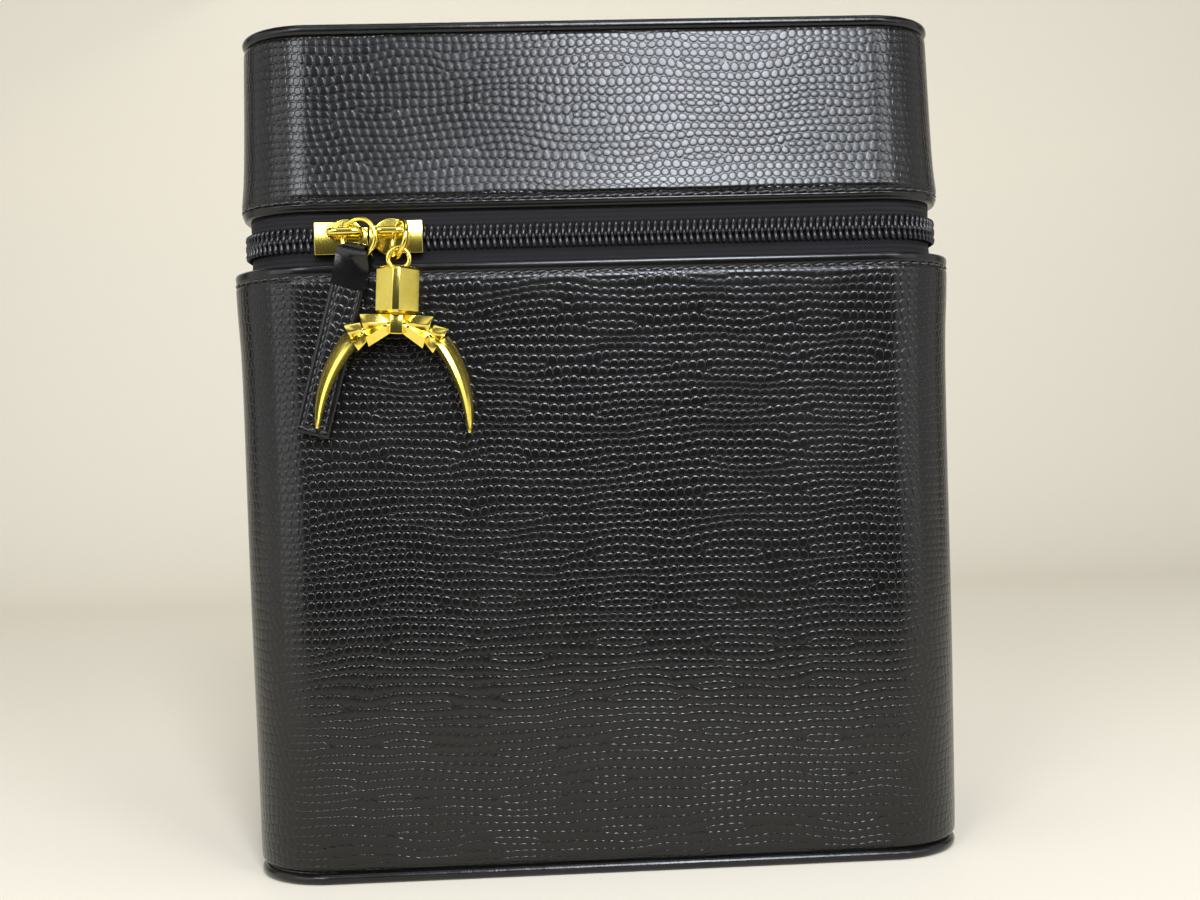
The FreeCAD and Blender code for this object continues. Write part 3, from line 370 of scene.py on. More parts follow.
def embossed_leather_material(name, coordinates):
    """Black lizard-grain hide with a semi-gloss finish, duller in its grooves and where handled. Its grooves
    are painted darker: painted shade.
    coordinates gives the place on the hide, and where it is embossed or None for all of it."""
    material, tree, shader = new_material(name)
    place, embossed = coordinates(tree)
    scales = tree.nodes.new("ShaderNodeGroup")
    scales.node_tree = lizard_emboss
    feed(scales, {"Vector": place})
    height, groove = scales.outputs["Height"], scales.outputs["Groove"]
    if embossed is not None:
        plain_height = 0.7
        over_plain = math_node(tree, "SUBTRACT", height, plain_height)
        height = math_node(tree, "MULTIPLY_ADD", over_plain, embossed, plain_height)
        groove = math_node(tree, "MULTIPLY", groove, embossed)
    worn = ramp_node(tree, noise_node(tree, place, 24, 3.0), 0.0, 1.0, 0.38, 0.68)
    fine = noise_node(tree, place, 2600, 3.0, 0.6)
    tint = mix_colours(tree, worn, (0.0036, 0.0034, 0.0032), (0.0060, 0.0056, 0.0051))
    polish = math_node(tree, "MULTIPLY_ADD", groove, 0.05, ramp_node(tree, worn, 0.13, 0.18))
    polish = math_node(tree, "MULTIPLY_ADD", scales.outputs["Chance"], 0.04, polish)
    rubbed = math_node(tree, "MULTIPLY", height, ramp_node(tree, worn, 1.0, 0.75))
    grain = math_node(tree, "MULTIPLY_ADD", fine, 0.05, rubbed)
    # The grooves are painted darker than the beads: painted shade in the recesses.
    feed(shader, {
        "Base Color": mix_colours(tree, groove, tint, (0.0028, 0.0026, 0.0025)),
        "Roughness": math_node(tree, "MULTIPLY_ADD", fine, 0.05, polish),
        "Normal": bump_node(tree, grain, 0.095 * MM),
        "Specular IOR Level": 0.4})
    return material


def lying_hide(tree):
    return object_coordinates(tree), None


panel_leather = embossed_leather_material("panel_leather", lying_hide)


def panel(name, node, crown, rim):
    """Panel over its board: flat, with a crown that falls to a soft edge, rim wide, by the seam. A
    crown below 0 hangs down, as on a ceiling."""
    low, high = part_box(node)
    top, foot = (high[2], low[2]) if crown >= 0 else (low[2], high[2])
    inset = half_width - high[0]
    places = [plan_point(s) for s in stations(0, case_girth, 6 * MM, 2.2 * MM)[:-1]]
    outline = [at - outward * inset for at, outward in places]
    steps = 9
    mesh = bmesh.new()
    rings = []
    for step in range(steps):
        share = 1 - step / steps
        from_edge = min(1.0, (1 - share) * half_depth / rim)
        height = top - crown + crown * math.sin(from_edge * math.pi / 2)
        rings.append([mesh.verts.new((*(at * share), height)) for at in outline])
    middle = mesh.verts.new((0, 0, top))
    under = [mesh.verts.new((point.co.x, point.co.y, foot)) for point in rings[0]]
    for n in range(len(outline)):
        m = (n + 1) % len(outline)
        for inner, outer in zip(rings[1:], rings):
            mesh.faces.new((outer[n], outer[m], inner[m], inner[n]))
        mesh.faces.new((rings[-1][n], rings[-1][m], middle))
        mesh.faces.new((under[n], under[m], rings[0][m], rings[0][n]))
    mesh.faces.new(under)
    return finished(name, mesh)


base_panel = panel("base_panel", "base_cover", 0.0, 8 * MM)
dress(base_panel, panel_leather, "case", "embossed_leather", "base_cover")


def board_material():
    """Grey fibreboard, with flecks pressed into it."""
    material, tree, shader = new_material("fibreboard")
    flecks = noise_node(tree, object_coordinates(tree), 900, 6.0, 0.7)
    feed(shader, {"Base Color": mix_colours(tree, flecks, (0.20, 0.17, 0.14), (0.36, 0.31, 0.26)),
                  "Normal": bump_node(tree, flecks, 0.05 * MM), "Roughness": 0.85})
    return material


fibreboard = board_material()
for node in ("base_board", "body_board", "lid_board", "lid_top_board"):
    put_on(frame["nodes"][node].data, fibreboard)


def lining_material():
    """Matt black twill, glued over a thin pad."""
    material, tree, shader = new_material("lining_twill")
    place = object_coordinates(tree)
    weave = tree.nodes.new("ShaderNodeTexWave")
    weave.wave_type = "BANDS"
    weave.bands_direction = "DIAGONAL"
    feed(weave, {"Vector": place, "Scale": 520, "Distortion": 0.6})
    slub = noise_node(tree, place, 1500, 3.0)
    thread = math_node(tree, "MULTIPLY_ADD", slub, 0.5, weave.outputs["Fac"])
    feed(shader, {"Base Color": mix_colours(tree, thread, (0.012, 0.011, 0.012), (0.034, 0.031, 0.033)),
                  "Normal": bump_node(tree, thread, 0.10 * MM), "Roughness": 0.82, "Sheen Weight": 0.25})
    return material


lining_twill = lining_material()
base_pad = panel("base_pad", "base_lining", 0.5 * MM, 14 * MM)
dress(base_pad, lining_twill, "case", "lining", "base_lining")


# Body wall: one strip of lizard-grain leather glued round a stiff board, its ends butted at the
# middle of the back. The top is turned over the board and sewn down with black thread, which
# pulls a groove a little below the edge. The foot is drawn in behind the corded seam.
def measured(points, run=0.0):
    """(inset, height) points with the distance run along them as a third part."""
    here, line = points[0], []
    for point in points:
        run += math.dist(point, here)
        here = point
        line.append((*point, run))
    return line


def smooth_profile(points, steps=6):
    """Curve through a few (inset, height) points, measured."""
    curve = []
    for n in range(len(points) - 1):
        p0, p1 = points[max(n - 1, 0)], points[n]
        p2, p3 = points[n + 1], points[min(n + 2, len(points) - 1)]
        for step in range(steps):
            t = step / steps
            curve.append(tuple(
                0.5 * (2 * b + (c - a) * t + (2 * a - 5 * b + 4 * c - d) * t * t
                       + (3 * b - a - 3 * c + d) * t ** 3)
                for a, b, c, d in zip(p0, p1, p2, p3)))
    curve.append(tuple(points[-1]))
    return measured(curve)


wall_foot, wall_top = wall_low[2], wall_high[2]
body_stitch_drop = 2.5 * MM
edge_roll = 0.75 * MM
cover_thickness = 0.8 * MM
body_flare_start = 118 * MM
body_outside = smooth_profile([
    (3.1 * MM, wall_foot), (2.35 * MM, wall_foot + 0.9 * MM), (1.95 * MM, wall_foot + 3 * MM),
    (1.75 * MM, 20 * MM), (1.32 * MM, 60 * MM), (1.02 * MM, 100 * MM), (0.75 * MM, 117 * MM),
    (0.25 * MM, 127 * MM), (0.05 * MM, wall_top - body_stitch_drop - 1.3 * MM)], 8)


def turned_edge(start, edge, drop, upward, inward, lean):
    """Groove of the stitching, the rolled edge above it and the turned-in lip, continuing a wall's
    profile. upward is 1 on the body and -1 on the lid. lean draws the edge in past the groove."""
    inset, height, run = start
    groove = [(0.02, 0.7), (0.30, 0.25), (0.34, -0.1), (0.21, -0.3), (0.10, -0.55), (0.05, -0.8)]
    shape = [(inset, height)]
    shape += [(inset + deep * MM, edge - upward * (drop + below * MM)) for deep, below in groove]
    shape.append((inset + 0.5 * lean, edge - upward * (drop - 1.1 * MM)))
    steps = 5
    for n in range(steps + 1):
        angle = n / steps * math.pi / 2
        shape.append((inset + lean + edge_roll * (1 - math.cos(angle)),
                      edge - upward * edge_roll * (1 - math.sin(angle))))
    shape += [(inward, edge), (inward, edge - upward * cover_thickness * 0.8)]
    return measured(shape, run)[1:]


def behind(line, points):
    """Points of a wall's hidden side, which lie past the end of its measured line."""
    return [(inset, height, line[-1][2]) for inset, height in points]


body_lip_inset = 3.98 * MM
board_face_inset = 1.55 * MM
body_edge = turned_edge(body_outside[-1], wall_top, body_stitch_drop, 1, body_lip_inset, -0.02 * MM)
body_inside = behind(body_edge, [(board_face_inset, wall_top - cover_thickness),
                                 (board_face_inset, body_flare_start), (3.15 * MM, wall_foot + 1.0 * MM)])
stitch_pitch = 2.8 * MM
hide_step = stitch_pitch / 3


def sewn(groove_height):
    """Hide pulled in at each stitch hole and at the back seam, and slightly uneven over the board."""
    reach, pull, wander = 0.7 * MM, 0.16 * MM, 0.08 * MM
    broad_dent, narrow_dent = 0.10 * MM, 0.06 * MM
    valley_depth, valley_half = 0.28 * MM, 0.45 * MM

    def shape(s, run, inset, height):
        near = math.exp(-((height - groove_height) / reach) ** 2)
        hole = 0.5 + 0.5 * math.cos(2 * math.pi * s / stitch_pitch)
        uneven = broad_dent * math.sin(s / (31 * MM) + 1.3) * math.sin(height / (27 * MM) + 0.6)
        uneven += narrow_dent * math.sin(s / (13 * MM) + height / (17 * MM))
        wave = wander * math.sin(s / (19 * MM) + 2.0) * near
        from_seam = min(s, case_girth - s)
        valley = valley_depth * math.exp(-(from_seam / valley_half) ** 2)
        return inset + near * pull * hole + uneven + valley, height + wave
    return shape


body_stitch_height = wall_top - body_stitch_drop
body_wall = wrapped_strip(
    "body_wall", body_outside + body_edge + body_inside, seam_break, case_girth - seam_break,
    hide_step, hide_step, sewn(body_stitch_height), body_edge[1][2])


def wrapped_hide(tree):
    place = hide_coordinates(tree)
    return place, parts_of(tree, place)[2]


wall_leather = embossed_leather_material("wall_leather", wrapped_hide)
dress(body_wall, wall_leather, "case", "embossed_leather", "body_cover")


def thread_material():
    """Black bonded thread, twisted from plies."""
    material, tree, shader = new_material("bonded_thread")
    twist = tree.nodes.new("ShaderNodeTexWave")
    twist.bands_direction = "DIAGONAL"
    feed(twist, {"Vector": object_coordinates(tree), "Scale": 900})
    plies = twist.outputs["Fac"]
    feed(shader, {"Base Color": mix_colours(tree, plies, (0.016, 0.016, 0.017), (0.060, 0.058, 0.064)),
                  "Normal": bump_node(tree, plies, 0.03 * MM), "Roughness": 0.26})
    return material


bonded_thread = thread_material()


def tube(mesh, points, radii, sides=8, flat=1.0):
    """Capped tube through points, its section flat times as deep as it is wide."""
    rings = []
    for n, point in enumerate(points):
        before, after = points[max(n - 1, 0)], points[min(n + 1, len(points) - 1)]
        along = (Vector(after) - Vector(before)).normalized()
        across = Vector((1, 0, 0)) if abs(along.x) < 0.9 else Vector((0, 0, 1))
        deep = along.cross(across).normalized()
        across = deep.cross(along).normalized()
        ring = []
        for side in range(sides):
            angle = 2 * math.pi * side / sides
            offset = across * math.cos(angle) + deep * math.sin(angle) * flat
            ring.append(mesh.verts.new(Vector(point) + offset * radii[n]))
        rings.append(ring)
    loft(mesh, rings)


def spacing_tree():
    """Repeats an element along a level path at an even pitch, turned to follow it."""
    tree = bpy.data.node_groups.new("spaced_along_path", "GeometryNodeTree")
    sockets = tree.interface
    sockets.new_socket("Geometry", in_out="INPUT", socket_type="NodeSocketGeometry")
    for name, kind in (("Element", "NodeSocketObject"), ("Pitch", "NodeSocketFloat"),
                       ("Finish", "NodeSocketMaterial")):
        sockets.new_socket(name, in_out="INPUT", socket_type=kind)
    sockets.new_socket("Geometry", in_out="OUTPUT", socket_type="NodeSocketGeometry")
    add = tree.nodes.new
    given, result = add("NodeGroupInput").outputs, add("NodeGroupOutput")
    curve, spaced = add("GeometryNodeMeshToCurve"), add("GeometryNodeResampleCurve")
    spaced.mode = "LENGTH"
    tangent, turn = add("GeometryNodeInputTangent"), add("FunctionNodeAlignRotationToVector")
    turn.axis = "X"
    turn.pivot_axis = "Z"
    shape, place = add("GeometryNodeObjectInfo"), add("GeometryNodeInstanceOnPoints")
    whole, finish = add("GeometryNodeRealizeInstances"), add("GeometryNodeSetMaterial")
    feed(curve, {"Mesh": given["Geometry"]})
    feed(spaced, {"Curve": curve.outputs["Curve"], "Length": given["Pitch"]})
    feed(turn, {"Vector": tangent.outputs["Tangent"]})
    feed(shape, {"Object": given["Element"]})
    feed(place, {"Points": spaced.outputs["Curve"], "Instance": shape.outputs["Geometry"],
                 "Rotation": turn.outputs["Rotation"]})
    feed(whole, {"Geometry": place.outputs["Instances"]})
    feed(finish, {"Geometry": whole.outputs["Geometry"], "Material": given["Finish"]})
    feed(result, {"Geometry": finish.outputs["Geometry"]})
    return tree


spaced_along_path = spacing_tree()


def repeat_along(name, points, build, pitch, material):
    """Run the spacing tree on a path, with the element that build makes, and keep its result as a
    plain mesh."""
    mesh = bmesh.new()
    build(mesh)
    shape = finished(name + "_element", mesh, 180)
    path = bpy.data.meshes.new(name + "_path")
    path.from_pydata(points, [(n, n + 1) for n in range(len(points) - 1)], [])
    holder = in_scene(name + "_path", path)
    modifier = holder.modifiers.new("spacing", "NODES")
    modifier.node_group = spaced_along_path
    given = {"Element": shape, "Pitch": pitch, "Finish": material}
    for item in spaced_along_path.interface.items_tree:
        if item.in_out == "INPUT" and item.name in given:
            modifier[item.identifier] = given[item.name]
    bpy.context.view_layer.update()
    graph = bpy.context.evaluated_depsgraph_get()
    repeated = bpy.data.meshes.new_from_object(holder.evaluated_get(graph))
    repeated.name = name
    for helper in (holder, shape):
        bpy.data.objects.remove(helper)
    return in_scene(name, repeated)


def level_path(inset, height, start, end):
    step = 1.0 * MM
    points = []
    for s in stations(start, end, step, step):
        at, outward = plan_point(s)
        points.append((at.x - outward.x * inset, at.y - outward.y * inset, height))
    return points


def stitch(length, first_half, radii):
    """One stitch of thread, given to its middle as (share of its half length, depth, slant) in
    millimetres and the thread's radii; the second half is the first turned round."""
    def build(mesh):
        start = [(-length / 2 * share, depth * MM, -slant * MM) for share, depth, slant in first_half]
        end = [(-x, y, -z) for x, y, z in start[::-1]]
        tube(mesh, start + end, [radius * MM for radius in radii + radii[::-1]])
    return build


wall_stitch = stitch(0.80 * stitch_pitch, [(1, 0.22, 0.10), (0.86, 0.0, 0.08), (0.4, -0.12, 0.03)],
                     [0.17, 0.23, 0.27])


def stitched_line(name, inset, height, body):
    """Line of stitches once round the case."""
    path = level_path(inset, height, stitch_pitch / 2, case_girth - stitch_pitch / 2)
    stitches = repeat_along(name, path, wall_stitch, stitch_pitch, bonded_thread)
    dress(stitches, bonded_thread, body, "smooth_leather")


stitched_line("body_stitches", 0.36 * MM, body_stitch_height, "case")


# Body lining: twill glued over thin padding inside the board. Its top edge is turned in behind
# the zip tape and stands a little below the leather lip.
lining_foot, lining_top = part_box("body_lining")[0][2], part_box("body_lining")[1][2]
lining_shoulder = 126.9 * MM
lining_back_inset, tape_side_inset = 4.12 * MM, 4.95 * MM
lining_outside = measured([
    (5.72 * MM, lining_foot), (lining_back_inset, body_flare_start + 0.2 * MM),
    (lining_back_inset, lining_shoulder), (tape_side_inset, lining_shoulder),
    (tape_side_inset, lining_top - 0.3 * MM), (5.15 * MM, lining_top),
    (5.5 * MM, lining_top - 0.05 * MM), (5.65 * MM, lining_top - 0.5 * MM)])
lining_inside = smooth_profile([
    (5.72 * MM, lining_top - 1.2 * MM), (5.66 * MM, body_flare_start + 0.2 * MM), (5.85 * MM, 95 * MM),
    (6.35 * MM, 60 * MM), (6.9 * MM, 25 * MM), (7.15 * MM, lining_foot + 1.0 * MM),
    (7.3 * MM, lining_foot)], 5)


def lining(name, profile, node, body):
    """Padded lining wrapped inside a wall, its ends butted at the middle of the back."""
    butt = 0.1 * MM
    piece = wrapped_strip(name, profile, butt, case_girth - butt, 6 * MM, 2 * MM)
    dress(piece, lining_twill, body, "lining", node)


lining("body_inner_lining", lining_outside + lining_inside, "body_lining", "case")


# Zip: two woven tapes sewn in behind the turned edges, each carrying half of a nylon coil.
# The coil is one filament wound in flat turns; the turns of the two halves mesh head to head.
# Both tapes stop at the hinge strip across the middle of the back.
hinge_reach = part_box("hinge_strip")[1][0] + 0.1 * MM
tape_start, tape_end = hinge_reach, case_girth - hinge_reach
chain_middle = (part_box("body_zip_coil")[1][2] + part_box("lid_zip_coil")[0][2]) / 2
tape_inset = half_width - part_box("body_zip_tape")[1][0]
tape_thickness = 0.55 * MM


def herringbone_material():
    """Black polyester tape woven in narrow herringbone ribs along its length. Its colour carries painted
    shade and painted light on the weave.
    """
    material, tree, shader = new_material("herringbone_tape")
    along, across = parts_of(tree, hide_coordinates(tree))[:2]
    rib, yarn = 1.05 * MM, 0.68 * MM
    side = math_node(tree, "PINGPONG", across, rib)
    slant = math_node(tree, "MULTIPLY_ADD", side, 1.25, along)
    thread = math_node(tree, "SINE", math_node(tree, "MULTIPLY", slant, 2 * math.pi / yarn))
    ridge = math_node(tree, "COSINE", math_node(tree, "MULTIPLY", side, 2 * math.pi / rib))
    height = math_node(tree, "MULTIPLY_ADD", ridge, -0.35, thread)
    # Colour follows the weave's height: painted shade between the yarns, painted light on their tops; the
    # light tone is raised to stand in for light from above falling on the tape.
    painted_weave_shade = ramp_node(tree, height, 0.0, 1.0, -0.5, 1.0)
    feed(shader, {"Base Color": mix_colours(tree, painted_weave_shade, (0.004, 0.004, 0.0045), (0.055, 0.053, 0.058)),
                  "Normal": bump_node(tree, height, 0.12 * MM), "Roughness": 0.5,
                  "Specular IOR Level": 0.1})
    return material


herringbone_tape = herringbone_material()


def tape_profile(seam, edge):
    """Thin band from the seam behind a turned edge to the chain, bowed a little outwards."""
    steps, bow = 8, 0.35 * MM
    face = []
    for n in range(steps + 1):
        share = n / steps
        face.append((tape_inset - bow * math.sin(math.pi * share), seam + (edge - seam) * share))
    back = [(inset + tape_thickness, height) for inset, height in face[::-1]]
    return [(inset, height, height) for inset, height in face + back]


for half, body, seam, edge in (("body", "case", 0, 1), ("lid", "lid", 1, 0)):
    tape_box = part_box(half + "_zip_tape")
    tape = wrapped_strip(half + "_tape", tape_profile(tape_box[seam][2], tape_box[edge][2]),
                         tape_start, tape_end)
    dress(tape, herringbone_tape, body, "zip_tape", half + "_zip_tape")


def nylon_material():
    """Glossy black nylon filament."""
    material, tree, shader = new_material("zip_nylon")
    scuff = noise_node(tree, object_coordinates(tree), 600, 3.0)
    feed(shader, {"Base Color": mix_colours(tree, scuff, (0.006, 0.006, 0.007), (0.016, 0.016, 0.017)),
                  "Roughness": ramp_node(tree, scuff, 0.16, 0.30),
                  "Normal": bump_node(tree, scuff, 0.02 * MM)})
    return material


zip_nylon = nylon_material()
coil_pitch = 1.46 * MM
coil_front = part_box("body_zip_coil")[1][0] - (half_width - tape_inset)


def coil_turn(upward):
    """One flat turn of the coil, from the tape over the front to the head at the chain's middle."""
    def build(mesh):
        reach, head = 2.62 * MM, -0.42 * MM
        front = -coil_front + 0.42 * MM
        line = [(0.10, 0.0, reach - 0.35 * MM), (0.08, front * 0.55, reach),
                (0.04, front * 0.90, reach - 0.3 * MM), (0.0, front * 0.98, reach - 0.8 * MM),
                (-0.06, front * 0.84, 1.25 * MM), (-0.13, front * 0.88, 0.75 * MM),
                (-0.18, front - 0.06 * MM, 0.3 * MM), (-0.2, front - 0.04 * MM, -0.1 * MM),
                (-0.18, front * 0.72, head), (-0.05, front * 0.3, head + 0.25 * MM)]
        radii = [0.34, 0.40, 0.44, 0.44, 0.42, 0.40, 0.35, 0.34, 0.33, 0.29]
        tube(mesh, [(x * MM, y, upward * z) for x, y, z in line], [r * MM for r in radii], flat=0.95)
    return build


coil_stop = 1 * MM
for half, body, upward, shift in (("lid", "lid", 1, 0.0), ("body", "case", -1, coil_pitch / 2)):
    path = level_path(tape_inset, chain_middle, tape_start + coil_stop + shift, tape_end - coil_stop + shift)
    coil = repeat_along(half + "_coil", path, coil_turn(upward), coil_pitch, zip_nylon)
    dress(coil, zip_nylon, body, "zip_coil", half + "_zip_coil")


# Lid: built as the body is, with a leather wall turned under and sewn at its lower edge, a
# corded seam round the top and a leather panel inside that. The zip tape is sewn in behind.
lid_foot, lid_wall_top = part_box("lid_cover")[0][2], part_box("lid_cover")[1][2]
lid_stitch_drop = 2.3 * MM
lid_flare_start = 158 * MM
lid_outside = smooth_profile([
    (3.75 * MM, lid_wall_top), (3.42 * MM, lid_wall_top - 0.8 * MM), (3.30 * MM, lid_wall_top - 3 * MM),
    (3.2 * MM, 180 * MM), (2.9 * MM, 168 * MM), (2.5 * MM, lid_flare_start),
    (1.95 * MM, lid_foot + lid_stitch_drop + 1.5 * MM)], 8)
lid_lip_inset, lid_board_inset = 4.05 * MM, 3.15 * MM
lid_edge = turned_edge(lid_outside[-1], lid_foot, lid_stitch_drop, -1, lid_lip_inset, 0.40 * MM)
lid_inside = behind(lid_edge, [(lid_board_inset, lid_foot + cover_thickness),
                               (lid_board_inset, lid_flare_start), (4.05 * MM, lid_wall_top)])
lid_stitch_height = lid_foot + lid_stitch_drop
lid_wall = wrapped_strip(
    "lid_wall", lid_outside + lid_edge + lid_inside, seam_break, case_girth - seam_break,
    hide_step, hide_step, sewn(lid_stitch_height), lid_edge[1][2])
dress(lid_wall, wall_leather, "lid", "embossed_leather", "lid_cover")
stitched_line("lid_stitches", lid_outside[-1][0] + 0.30 * MM, lid_stitch_height, "lid")

corded_seam("lid_cord", "lid_piping", "lid")
lid_panel = panel("lid_panel", "lid_top_cover", 0.5 * MM, 12 * MM)
dress(lid_panel, panel_leather, "lid", "embossed_leather", "lid_top_cover")

lid_lining_foot, lid_lining_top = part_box("lid_lining")[0][2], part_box("lid_lining")[1][2]
lid_lining_shoulder = 157.6 * MM
lining("lid_inner_lining", measured([
    (5.1 * MM, lid_lining_top), (4.25 * MM, lid_flare_start + 0.2 * MM), (4.25 * MM, lid_lining_shoulder),
    (tape_side_inset, lid_lining_shoulder), (tape_side_inset, lid_lining_foot + 0.3 * MM),
    (5.2 * MM, lid_lining_foot), (5.55 * MM, lid_lining_foot + 0.1 * MM),
    (5.75 * MM, lid_lining_foot + 0.6 * MM), (5.8 * MM, lid_flare_start), (6.7 * MM, lid_lining_top)]),
    "lid_lining", "lid")
lid_ceiling = panel("lid_ceiling", "lid_top_lining", -0.3 * MM, 14 * MM)
dress(lid_ceiling, lining_twill, "lid", "lining", "lid_top_lining")


# Mirror: silvered glass let into a frame wrapped in smooth leather, fixed to the lid's ceiling.
# The frame's edges are rounded by the leather; the glass is one flat plate.
def softened_copy(name, node, bevel, crease=30, flat=True):
    """The solid's own shape as a clean mesh, with its sharp edges rounded."""
    mesh = bmesh.new()
    mesh.from_mesh(frame["nodes"][node].data)
    bmesh.ops.remove_doubles(mesh, verts=mesh.verts, dist=0.002 * MM)
    if flat:
        bmesh.ops.dissolve_limit(mesh, angle_limit=math.radians(1.5), verts=mesh.verts, edges=mesh.edges)
    if bevel:
        sharp = [edge for edge in mesh.edges
                 if len(edge.link_faces) == 2 and edge.calc_face_angle() > math.radians(crease)]
        bmesh.ops.bevel(mesh, geom=sharp, offset=bevel, segments=2, profile=0.6, affect="EDGES",
                        clamp_overlap=True)
    return finished(name, mesh, 38)


mirror_surround = softened_copy("mirror_surround", "mirror_frame", 0.35 * MM)
dress(mirror_surround, smooth_leather, "lid", "smooth_leather", "mirror_frame")


def mirror_material():
    """Silvered glass with faint smears."""
    material, tree, shader = new_material("silvered_glass")
    smear = noise_node(tree, object_coordinates(tree), 60, 4.0)
    feed(shader, {"Roughness": ramp_node(tree, smear, 0.01, 0.05), "Metallic": 1.0,
                  "Base Color": mix_colours(tree, smear, (0.80, 0.83, 0.83), (0.88, 0.90, 0.90))})
    return material


silvered_glass = mirror_material()
put_on(frame["nodes"]["mirror"].data, silvered_glass)


# Hinge strip: a strip of the same smooth leather sewn in behind both edges across the back, made here as one
# flat sheet over the strip's box.
def close_sheet(mesh, front, back):
    """Faces of a sheet given as two grids of points, with the rim between them."""
    rows, columns = len(front) - 1, len(front[0]) - 1
    for grid in (front, back):
        for low, high in zip(grid, grid[1:]):
            for n in range(columns):
                mesh.faces.new((low[n], low[n + 1], high[n + 1], high[n]))
    rim = [(0, n) for n in range(columns)] + [(n, columns) for n in range(rows)]
    rim += [(rows, n) for n in range(columns, 0, -1)] + [(n, 0) for n in range(rows, 0, -1)]
    for (a, b), (c, d) in zip(rim, rim[1:] + rim[:1]):
        mesh.faces.new((front[a][b], front[c][d], back[c][d], back[a][b]))


strip_low, strip_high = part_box("hinge_strip")
strip_width, strip_height = strip_high[0] - strip_low[0], strip_high[2] - strip_low[2]
strip_columns, strip_rows = 32, 60
strip_mesh = bmesh.new()
strip_sides = []
for y in (strip_low[1], strip_high[1]):
    strip_sides.append([[strip_mesh.verts.new((strip_low[0] + strip_width * column / strip_columns, y,
                                               strip_low[2] + strip_height * row / strip_rows))
                         for column in range(strip_columns + 1)] for row in range(strip_rows + 1)])
close_sheet(strip_mesh, *strip_sides)
hinge_gusset = finished("hinge_gusset", strip_mesh)
put_on(hinge_gusset.data, smooth_leather)
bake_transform(hinge_gusset)
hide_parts("hinge_strip")


# Zip sliders: two small gold-plated castings that meet head to head. Each has a plate in front
# of the chain and one behind it, and a staple-shaped bridge on which its pull ring hangs.
def gold_material():
    """Polished gold plating: fine polishing lines, and patches that have dulled a little."""
    material, tree, shader = new_material("polished_gold")
    place = object_coordinates(tree)
    lines = tree.nodes.new("ShaderNodeMapping")
    feed(lines, {"Vector": place, "Scale": (1.0, 1.0, 0.06)})
    polish = noise_node(tree, lines.outputs["Vector"], 5200, 3.0, 0.6)
    tarnish = noise_node(tree, place, 260, 4.0, 0.6)
    dulled = ramp_node(tree, tarnish, 0.0, 1.0, 0.35, 0.75)
    feed(shader, {
        "Base Color": mix_colours(tree, dulled, (0.92, 0.75, 0.16), (0.82, 0.64, 0.10)),
        "Roughness": math_node(tree, "MULTIPLY_ADD", polish, 0.07, ramp_node(tree, tarnish, 0.08, 0.16)),
        "Normal": bump_node(tree, polish, 0.003 * MM), "Metallic": 1.0})
    return material


polished_gold = gold_material()


def gilt(name, node, body, bevel, crease=30, flat=True):
    """Gold-plated casting in its solid's own shape."""
    dress(softened_copy(name, node, bevel, crease, flat), polished_gold, body, "gold", node)


def level_bar(mesh, points, widths, rise, sides=20):
    """Capped bar along a path that stays at one height, with its half width given at each point
    and its half height rise."""
    up = Vector((0, 0, 1))
    rings = []
    for n, point in enumerate(points):
        before, after = points[max(n - 1, 0)], points[min(n + 1, len(points) - 1)]
        across = (Vector(after) - Vector(before)).normalized().cross(up).normalized()
        angles = [2 * math.pi * side / sides for side in range(sides)]
        rings.append([mesh.verts.new(Vector(point) + across * widths[n] * math.cos(angle)
                                     + up * rise * math.sin(angle)) for angle in angles])
    loft(mesh, rings)


def bridge(name, node):
    """Staple with a round bar and flattened legs, its feet on the slider's plate."""
    low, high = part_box(node)
    radius, middle = (high[2] - low[2]) / 2, (high[2] + low[2]) / 2
    bar, foot = low[1] + radius, high[1] + 0.02 * MM
    leg, turn = 0.52 * MM, 0.9 * MM
    left, right = low[0] + leg, high[0] - leg
    bends = [math.radians(angle) for angle in (30, 60, 90)]
    line = [(left, foot), (left, bar + turn)]
    line += [(left + turn * (1 - math.cos(a)), bar + turn * (1 - math.sin(a))) for a in bends]
    line += [(left + turn + (right - left - 2 * turn) * share, bar) for share in (0.25, 0.5, 0.75)]
    line += [(right - turn * (1 - math.cos(a)), bar + turn * (1 - math.sin(a))) for a in bends[::-1]]
    line += [(right, bar + turn), (right, foot)]
    thick = radius * 0.98
    widening = [leg, leg, 0.62 * MM, 0.74 * MM]
    mesh = bmesh.new()
    level_bar(mesh, [(x, y, middle) for x, y in line], widening + [thick] * 5 + widening[::-1], thick)
    return finished(name, mesh)


for side in ("strap", "charm"):
    gilt(side + "_slider_shell", side + "_slider_body", side + "_slider", 0.16 * MM)
    staple = bridge(side + "_slider_staple", side + "_slider_bridge")
    dress(staple, polished_gold, side + "_slider", "gold", side + "_slider_bridge")
    gilt(side + "_hoop", side + "_ring", side + "_ring_link", 0, flat=False)


# Strap pull: a plain leather loop folded over its ring, with the embossed tongue sewn between
# its two plies. The tongue is edged with a line of stitching.
strap_joint = next(joint for joint in frame["joints"] if joint["name"] == "strap_sway")
strap_tilt = math.radians(15.3)
strap_frame = Matrix.Translation(strap_joint["pos_m"]) @ Matrix.Rotation(strap_tilt, 4, "Y")


def hung(name, mesh):
    """Piece of the strap, drawn upright on its pivot and hung at its tilt."""
    bmesh.ops.transform(mesh, matrix=strap_frame, verts=mesh.verts)
    return finished(name, mesh, 45)


def part_way(value, start, end):
    return max(0.0, min(1.0, (value - start) / (end - start)))


